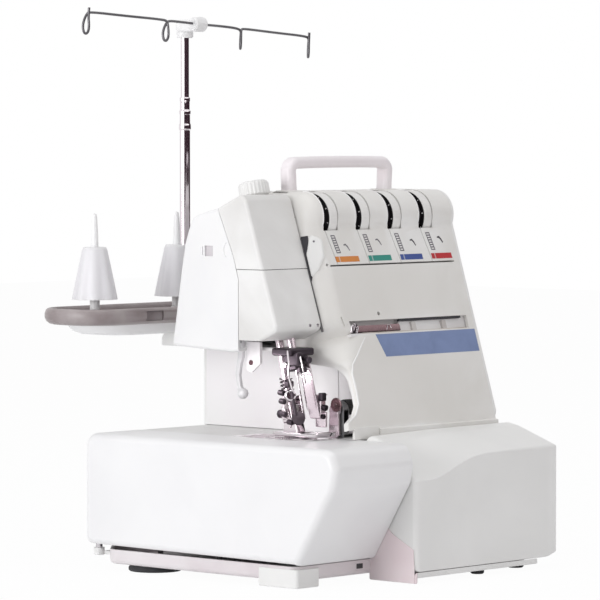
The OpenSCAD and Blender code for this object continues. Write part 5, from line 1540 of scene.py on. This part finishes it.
    def knife_group(self) -> None:
        """The knife's pale bracket, its blade, its round stud and its black knob."""
        y, z = -60, 120
        plate = Form()
        plate.prism(Outline(((y - 6, 102.8, 1), (y + 6, 102.8, 1), (y + 6, z + 5, 5),
                             (y - 6, z + 5, 5))), Axis.X, -40.8, -34.9, 0.8, 0.8)
        plate.box((-40.8, y - 6, 100.1), (-16, y + 6, 103), 0.7)
        plate.cut(Form().rod((-48, y, z), (-25, y, z), 2.05))
        plate.make("knife_bracket_plate", THROAT, smooth=40)
        disc = Form().rod((-45.8, y - 3, z + 4), (-44.7, y - 3, z + 4), 5.2, 0.6)
        disc.lathe([(0, 0), (1.9, 0), (1.9, 0.5), (0, 0.7)], (-45.9, y - 3, z + 4), Vector((-1, 0, 0)),
                   24)
        disc.make("upper_knife_boss", ROSE, "upper_knife", smooth=45)
        blade = Form()
        blade.rod((-44.8, y, z), (-41.1, y, z), 4.6, 0.6)
        blade.rod((-43.8, y, z), (-32, y, z), 2)
        blade.prism(Outline(((y - 4, z, 1), (y + 4, z, 1), (y + 5, 101, 0.4), (y + 1, 97.4, 0.2),
                             (y - 5, 102, 0.4))), Axis.X, -44.6, -42.9)
        blade.make("upper_knife_blade", PINK, "upper_knife", "upper_knife", soften=0.15, smooth=40)
        profile = [(0, 0), (5.2, 0), (5.6, 0.6), (5.6, 8.6), (4.9, 10), (3.2, 10.7), (0, 10.8)]
        knob = Form().lathe(profile, (-34.3, y, z + 1.5), Axis.X, 72, ribs(0.12, 20))
        knob.make("upper_knife_knob", BLACK, "upper_knife", smooth=45)

    def thread_parts(self) -> None:
        """Bent thread guides, brackets and screws around the bars."""
        dark, bright, pale = Form(), Form(), Form()
        dark.box((-82, -52, 160), (-56, -33, 165.5), 1.6)
        dark.box((-79, -56, 153), (-73, -47, 163), 1.4)
        dark.box((-60, -44, 152), (-53, -36, 162), 1.4)
        dark.rod((-70, -54, 158), (-70, -60, 157), 2.6, 0.5)
        dark.box((-84.5, -52, 138), (-77.6, -47.5, 142.5), 1.2)
        for x, y, z in ((-84, -44, 128), (-86, -47, 119), (-80, -48, 113), (-83, -42, 134)):
            dark.rod((x, y, z), (x - 0.5, y - 5, z - 0.5), 2, 0.5)
        bright.tube([(-83, -50, 164), (-86, -54, 156), (-87, -55, 146), (-85, -56, 138),
                     (-82, -56, 134)], 0.7)
        bright.tube([(-76, -56, 160), (-77, -60, 150), (-75, -60, 143), (-71, -57, 141)], 0.6)
        for z, low in ((128, 131), (124, 122), (119, 114)):
            bright.tube([(-52, -50, z), (-46.5, -52, (z + low) / 2 + 1.5), (-46.2, -55, low)], 0.5)
        bright.lathe([(3, 0), (4, 0.4), (4.2, 1), (4, 1.6), (3, 2), (2.4, 1), (3, 0)],
                     (-80, -50, 132), Vector((-0.6, -0.8, 0.1)), 28)
        pale.box((-82.5, -46.5, 115.5), (-77.5, -43.5, 133), 0.8)
        pale.box((-84.5, -49, 116.5), (-81, -46, 123), 0.8)
        pale.along_x([(-38.5, 160), (-47.5, 160), (-59.5, 115.5), (-49.5, 115.5)], -58.9, -57.8)
        pale.box((-56.5, -58, 114), (-50.5, -47.5, 131.5), 1)
        pale.box((-53.5, -60, 108), (-51, -50, 119), 0.8)
        dark.lathe([(0, 0), (4.4, 0), (5, 0.6), (5, 2.2), (4.2, 2.8), (0, 3)], (-76.5, -54, 115.4),
                   Vector((-0.45, -0.85, 0.15)), 36)
        dark.rod((-79, -48.4, 143), (-79, -54.6, 117.5), 1.5, 0.3)
        dark.box((-57.2, -60, 127), (-52, -56, 133), 0.9)
        dark.rod((-54, -58, 122.5), (-54, -61.5, 122), 2.3, 0.5)
        dark.rod((-55, -57.5, 116), (-55, -60.5, 115.6), 1.7, 0.4)
        dark.make("needle_thread_brackets", DARK, soften=0.1, smooth=40)
        bright.make("needle_thread_guides", CHROME, smooth=50)
        pale.make("needle_side_plates", PINK, smooth=40)
        spring = Form()
        turns = [(2 * pi * k / 16, 25 + k * 0.16) for k in range(120)]
        spring.tube([(4.4 * cos(a), 4.4 * sin(a), z) for a, z in turns], 0.5, 6)
        Form().join(spring, self.frame(PRESSER_FOOT)).make("presser_coil", DARK, "presser", smooth=70)

    def build(self) -> None:
        """Makes every part of the works."""
        self.needle_group()
        self.presser_group()
        self.lifter()
        self.knife_group()
        self.thread_parts()


@dataclass
class ThroatWall:
    """The smooth wall of the column beside the throat, which turns to meet the front panel."""

    top: float = 163.6
    low: float = 100.4

    def build(self) -> None:
        """Makes the wall with its rounded upper front corner."""
        plan = [(-12, 98), (-12, 40), (-12, -20), (-12, -45), (-11.7, -48.4), (-10, -51.2),
                (-3, -57), (10, -62.5), (22, -65)]
        loop = plan + [(x + 2.5, y + 1.5) for x, y in reversed(plan)]
        form = Form().loft([[(x, y, z) for x, y in loop] for z in (self.low, self.top)])
        form.make("throat_wall", THROAT, node="throat_cover", smooth=50)
        ceiling = Form().box((-53.5, -40, 161.2), (-11, 8, 163.7), 0.5)
        up = Vector((0, 0.225, 0.974))
        ceiling.cut(*[Form().rod(tuple(Vector(f) + up * 30), tuple(Vector(f) + up * 90), 8.8)
                      for f in ((-66, -54, 100), (-61, -38, 100))])
        ceiling.make("throat_ceiling", THROAT, smooth=40)
        # A tube darker than the wall along its seam line: painted shade of the seam.
        groove = Form()
        line = [(-12.1, 96, 160.4), (-12.1, 20, 160.6), (-12.1, -14, 160.4), (-12.1, -24, 159),
                (-12.1, -31, 155.6), (-12.1, -34.6, 150.5), (-12.1, -35.4, 140), (-12.1, -35.6, 104)]
        groove.tube(rounded(line), 0.55, 8)
        groove.make("throat_seam_shade_line", EDGE_DARK, smooth=60)


@dataclass
class LowerBody:
    """The pan with its hinges, skirts and foot blocks, and the rubber feet."""

    feet: tuple[tuple[float, float, float], ...] = (
        (-104, 62, 19.6), (80, 66, 20), (90, -119, 6), (-34, -114, 8), (-112, -82, 9), (38, -126, 5))

    pan: Outline = Outline(((-127, -98, 8), (-45, -98, 0.5), (-45, -136.6, 1), (82, -136.6, 5),
                            (104, -112, 6), (104, 109, 8), (-102, 109, 8), (-127, 86, 14)), 6)

    def build(self) -> None:
        """Makes every piece of the lower body."""
        feet = Form()
        for x, y, r in self.feet:
            top = 4.9 if r > 15 else 4.2
            feet.lathe([(0, 0), (r - 2.4, 0), (r - 2.2, 0.5), (r - 1.6, 0.5), (r - 1.3, 0),
                        (r - 0.9, 0), (r, 0.9), (r, 2.6), (r - 1.6, top), (0, top)], (x, y, 0),
                       Axis.Z, 64)
        feet.make("rubber_foot_set", RUBBER, node="rubber_feet", smooth=40)
        rail = Form().prism(Outline(((-141, 4.3, 0.8), (-141, 8.42, 0.1), (-138.9, 6.3, 0.3),
                                     (-138.9, 4.3, 0.3))), Axis.X, -45.3, 88.4, 0.1, 0.1)
        rail.make("front_skirt", CASING, soften=0.15)
        skirt = Form().prism(Outline(((-141, 0.4, 1.2), (-141, 8.4, 0.1), (-138.6, 6, 0.3),
                                      (-133, 4.6, 2), (-127.4, 6.6, 0.4), (-124.4, 9.6, 0.3),
                                      (-97, 24, 0.4), (-97, 0.4, 1.2))), Axis.X, -46.8, -45.4, 0.3, 0.3)
        skirt.prism(Outline(((-139.8, 0.6, 1.6), (-138.6, 24.6, 1), (-119, 34.6, 9), (-112, 41, 1),
                             (-97, 32, 0.4), (-97, 0.6, 1.2))), Axis.X, -47.4, -46.9, 0.2)
        skirt.make("side_skirt", SKIRT, soften=0.1)
        pan = Form().prism(self.pan, Axis.Z, 4.9, 15.6, 3.2, 0.4)
        way = Outline(((-142, 30, 0.1), (-142, 8.9, 0.1), (-138.6, 6, 0.1), (-133, 4.6, 2),
                       (-127.4, 6.6, 0.4), (-121, 13, 0.3), (-105, 30, 0.1)))
        pan.cut(Form().prism(self.pan.inset(2.2), Axis.Z, 7.2, 20), Form().prism(way, Axis.X, -50, 120))
        boss = Form().lathe([(0, 10), (3.6, 10), (4, 10.4), (4, 15.4), (2.56, 15.4), (2.56, 10.6),
                             (0, 10.6)], PLATE_HINGE, Axis.Z, 40)
        boss.box((-119.5, 92, 10.4), (-113, 100, 13), 0.4)
        boss.make("pan_hinge_boss", CASING, smooth=40)
        for x in (-27, 93):
            pan.rod((x - 3, *COVER_HINGE), (x + 3, *COVER_HINGE), 3.6, 0.3)
            pan.box((x - 3, -131, 12.4), (x + 3, -119.6, 15), 0.3)
            pan.box((x - 3, -121.6, 6), (x + 3, -119.6, 14.6), 0.3)
            pan.cut(Form().rod((x - 4, *COVER_HINGE), (x + 4, *COVER_HINGE), 2.62))
        pan.make("pan_shell", PAN, node="base_pan", smooth=35)
        pin = Form().lathe([(0, 10.7), (2.2, 10.7), (2.5, 11), (2.5, 91), (2.2, 91.3), (0, 91.3)],
                           PLATE_HINGE, Axis.Z, 32)
        pin.make("plate_hinge_rod", STEEL, node="plate_hinge_pin", smooth=40)
        latch = Form().box((-62.5, -98.5, 9.4), (-56, -98.05, 13), 0.2)
        latch.make("pan_catch_mark", BLACK)
        blocks = Form()
        blocks.prism(rounded_rect((-127.5, -100), (-103, -62), 2.5), Axis.Z, 0.3, 13.6, 0.8, 0.5)
        blocks.make("pan_foot_blocks", CASING, soften=0.2)


@dataclass
class FrameFinishes:
    """The finishes and light edge rounding of the CAD nodes that stay in view."""

    plan: dict[str, Finish] = field(default_factory=lambda: {
        "rear_cover": CASING, "right_cover": CASING, "bed_cover": CASING,
        "main_frame": IRON, "needle_plate": CHROME, "main_shaft": STEEL,
        "bushes": BRONZE, "shaft_pulley": BLACK, "drive_belt": BELT, "motor": MOTOR,
        "motor_pulley": BLACK, "needle_rock_shaft": STEEL, "needle_bar": PINK, "presser_bar": PINK,
        "presser_spring": STEEL, "upper_looper": CHROME, "lower_looper": CHROME, "knife_bracket": IRON,
        "lower_knife": STEEL, "main_feed_dog": CHROME, "differential_feed_dog": CHROME,
        "tension_discs": CHROME, "tension_posts": STEEL, "stitch_width_knob": BLACK,
        "power_switch": BLACK, "looper_cover_rod": STEEL})
    rounded: dict[str, float] = field(default_factory=lambda: {
        "rear_cover": 1.2, "right_cover": 1.4, "bed_cover": 0.6,
        "main_frame": 1.5, "stitch_width_knob": 0.6, "power_switch": 0.5, "motor": 0.8,
        "knife_bracket": 0.6, "needle_plate": 0.25})

    def build(self, nodes: dict[str, bpy.types.Object]) -> None:
        """Dresses the nodes.

        Args:
            nodes: the CAD nodes by name.
        """
        for name, finish in self.plan.items():
            node = nodes[name]
            made = finish.material()
            if not node.material_slots:
                node.data.materials.append(made)
            for place in node.material_slots:
                place.material = made
            self._round(node, self.rounded.get(name, 0.12))
            LOG.info("%s keeps its CAD shape in %s", name, finish.name)

    @staticmethod
    def _round(node: bpy.types.Object, width: float) -> None:
        """Welds a node's triangles, merges its flats and rounds its edges by modifiers."""
        weld = node.modifiers.new("weld", "WELD")
        weld.merge_threshold = 1e-5
        flat = node.modifiers.new("merge_flats", "DECIMATE")
        flat.decimate_type, flat.angle_limit = "DISSOLVE", radians(1.5)
        edge = node.modifiers.new("soft_edges", "BEVEL")
        edge.width, edge.segments, edge.limit_method = width * MM, 3, "ANGLE"
        edge.angle_limit, edge.use_clamp_overlap = SOFT_EDGE, True
        light = node.modifiers.new("even_light", "WEIGHTED_NORMAL")
        light.keep_sharp = False


@dataclass(frozen=True)
class Lamp:
    """A soft rectangular lamp aimed at the machine. Sizes are in metres, power in watts."""

    name: str
    place: Spot
    target: Spot
    size: Flat
    power: float
    colour: Colour = (1, 1, 1)

    def build(self) -> None:
        """Adds the lamp."""
        data = bpy.data.lights.new(self.name, "AREA")
        data.color = self.colour
        data.shape, data.energy = "RECTANGLE", self.power
        data.size, data.size_y = self.size
        lamp = add_object(self.name, data)
        lamp.location = self.place
        aim = Vector(self.target) - Vector(self.place)
        lamp.rotation_euler = aim.to_track_quat("-Z", "Y").to_euler()


@dataclass
class Studio:
    """The camera, the lamps, the pale floor and the white surround."""

    camera_place: Spot = (-2.2891, -2.0838, 0.3315)
    azimuth: float = 47.5
    pitch: float = 2.5
    lens: float = 252.0
    lamps: tuple[Lamp, ...] = (
        Lamp("side_key", (-1.90, 0.30, 0.42), (0, 0, 0.14), (1.2, 0.7), 16),
        Lamp("front_fill", (0.30, -1.9, 0.70), (0, 0, 0.12), (1.4, 1), 4.3, (1, 0.96, 0.92)),
        Lamp("low_fill", (-0.85, -1.75, 0.12), (-0.03, -0.1, 0.06), (0.8, 0.3), 1.25, (1, 0.96, 0.96)),
        Lamp("top_fill", (-0.2, -0.1, 1.9), (0, 0, 0.1), (1.4, 1.4), 8.5),
        Lamp("work_glow", (-0.098, -0.014, 0.147), (-0.012, -0.040, 0.122), (0.03, 0.012), 0.012,
             (1, 0.97, 0.98)))
    surround: float = 0.50

    def camera(self) -> None:
        """Sets the camera up."""
        data = bpy.data.cameras.new("view")
        data.lens, data.sensor_width, data.clip_end = self.lens, 36, 50
        view = add_object("view", data)
        view.location = self.camera_place
        a, p = radians(self.azimuth), radians(self.pitch)
        aim = Vector((sin(a) * cos(p), cos(a) * cos(p), -sin(p)))
        view.rotation_euler = aim.to_track_quat("-Z", "Y").to_euler()
        bpy.context.scene.camera = view

    @staticmethod
    def _part_white(nodes: Nodes, dim: bpy.types.NodeSocket, white: bpy.types.NodeSocket,
                    share: float = 1.0) -> bpy.types.NodeSocket:
        """Shows plain white to the camera and to gloss, and something dimmer to other light.

        Args:
            nodes: the tree.
            dim: the dimmer shader.
            white: the white shader.
            share: how much of the white is seen; below 1, a little shadow stays.

        Returns:
            The mixed shader.
        """
        path = nodes.add("LightPath")
        mask = path["Is Camera Ray"]
        for name in ("Is Glossy Ray", "Is Transmission Ray"):
            mask = nodes.maths("MAXIMUM", mask, path[name])
        if share < 1:
            mask = nodes.maths("MULTIPLY", mask, share)
        return nodes.add("MixShader", (0, mask), (1, dim), (2, white))[0]

    @staticmethod
    def _stage(form: Form, name: str, made: bpy.types.Material, gloss_only: bool = False) -> None:
        """Stands a form in the studio, as something that isn't part of the machine."""
        piece = add_object(name, form.data(name, MM))
        piece.data.materials.append(made)
        if gloss_only:
            piece.visible_camera = piece.visible_diffuse = piece.visible_shadow = False
            piece.visible_transmission = False

    def world(self) -> None:
        """A white surround for the camera and for gloss, and a dimmer one for light."""
        world = bpy.data.worlds.new("surround")
        bpy.context.scene.world = world
        nodes = Nodes.fresh(world)
        dim = nodes.add("Background", ("Color", (0.98, 0.975, 1, 1)), ("Strength", self.surround))[0]
        white = nodes.add("Background", ("Color", (1, 1, 1, 1)))[0]
        nodes.add("OutputWorld", (0, self._part_white(nodes, dim, white)))

    def floor(self) -> None:
        """A wide pale floor that keeps a faint shadow."""
        made = bpy.data.materials.new("pale_floor")
        nodes = Nodes.fresh(made)
        matt = nodes.add("BsdfDiffuse", ("Color", (0.86, 0.86, 0.87, 1)))[0]
        white = nodes.add("Emission")[0]
        nodes.add("OutputMaterial", (0, self._part_white(nodes, matt, white, 0.97)))
        self._stage(Form().box((-4000, -4000, -20), (4000, 4000, 0)), "floor", made)

    def dark_card(self) -> None:
        """Two dark strips that only gloss sees, so that round metal shows a dark side."""
        form = Form()
        for low, corners in ((60, ((-560, -1400), (900, -1400), (1500, -500), (1500, 330))),
                             (205, ((-1420, -680), (-1150, -1050), (-560, -1400)))):
            form.loft([[(x, y, low), (x, y, 640)] for x, y in corners], closed=False,
                      caps=(False, False))
        made = bpy.data.materials.new("card_black")
        nodes = Nodes.fresh(made)
        shader = nodes.add("BsdfPrincipled", ("Base Color", (0.035, 0.012, 0.022, 1)),
                           ("Roughness", 1))[0]
        nodes.add("OutputMaterial", ("Surface", shader))
        self._stage(form, "dark_card", made, gloss_only=True)

    def build(self) -> None:
        """Sets the whole studio up."""
        self.camera()
        self.world()
        self.floor()
        self.dark_card()
        for lamp in self.lamps:
            lamp.build()
        bpy.context.scene.view_settings.view_transform = "Standard"


def main() -> None:
    """Builds the machine's looks on its frame, one sub-assembly after another."""
    logging.basicConfig(level=logging.INFO, format="%(name)s: %(message)s")
    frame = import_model()
    Studio().build()
    FrontCover().build()
    SewingHead().build()
    ClothPlate().build()
    LooperCover().build()
    Handle().build()
    SideControls().build()
    ThreadStand().build()
    SewingWorks().build()
    ThroatWall().build()
    LowerBody().build()
    FrameFinishes().build(frame["nodes"])


if __name__ == "__main__":
    main()
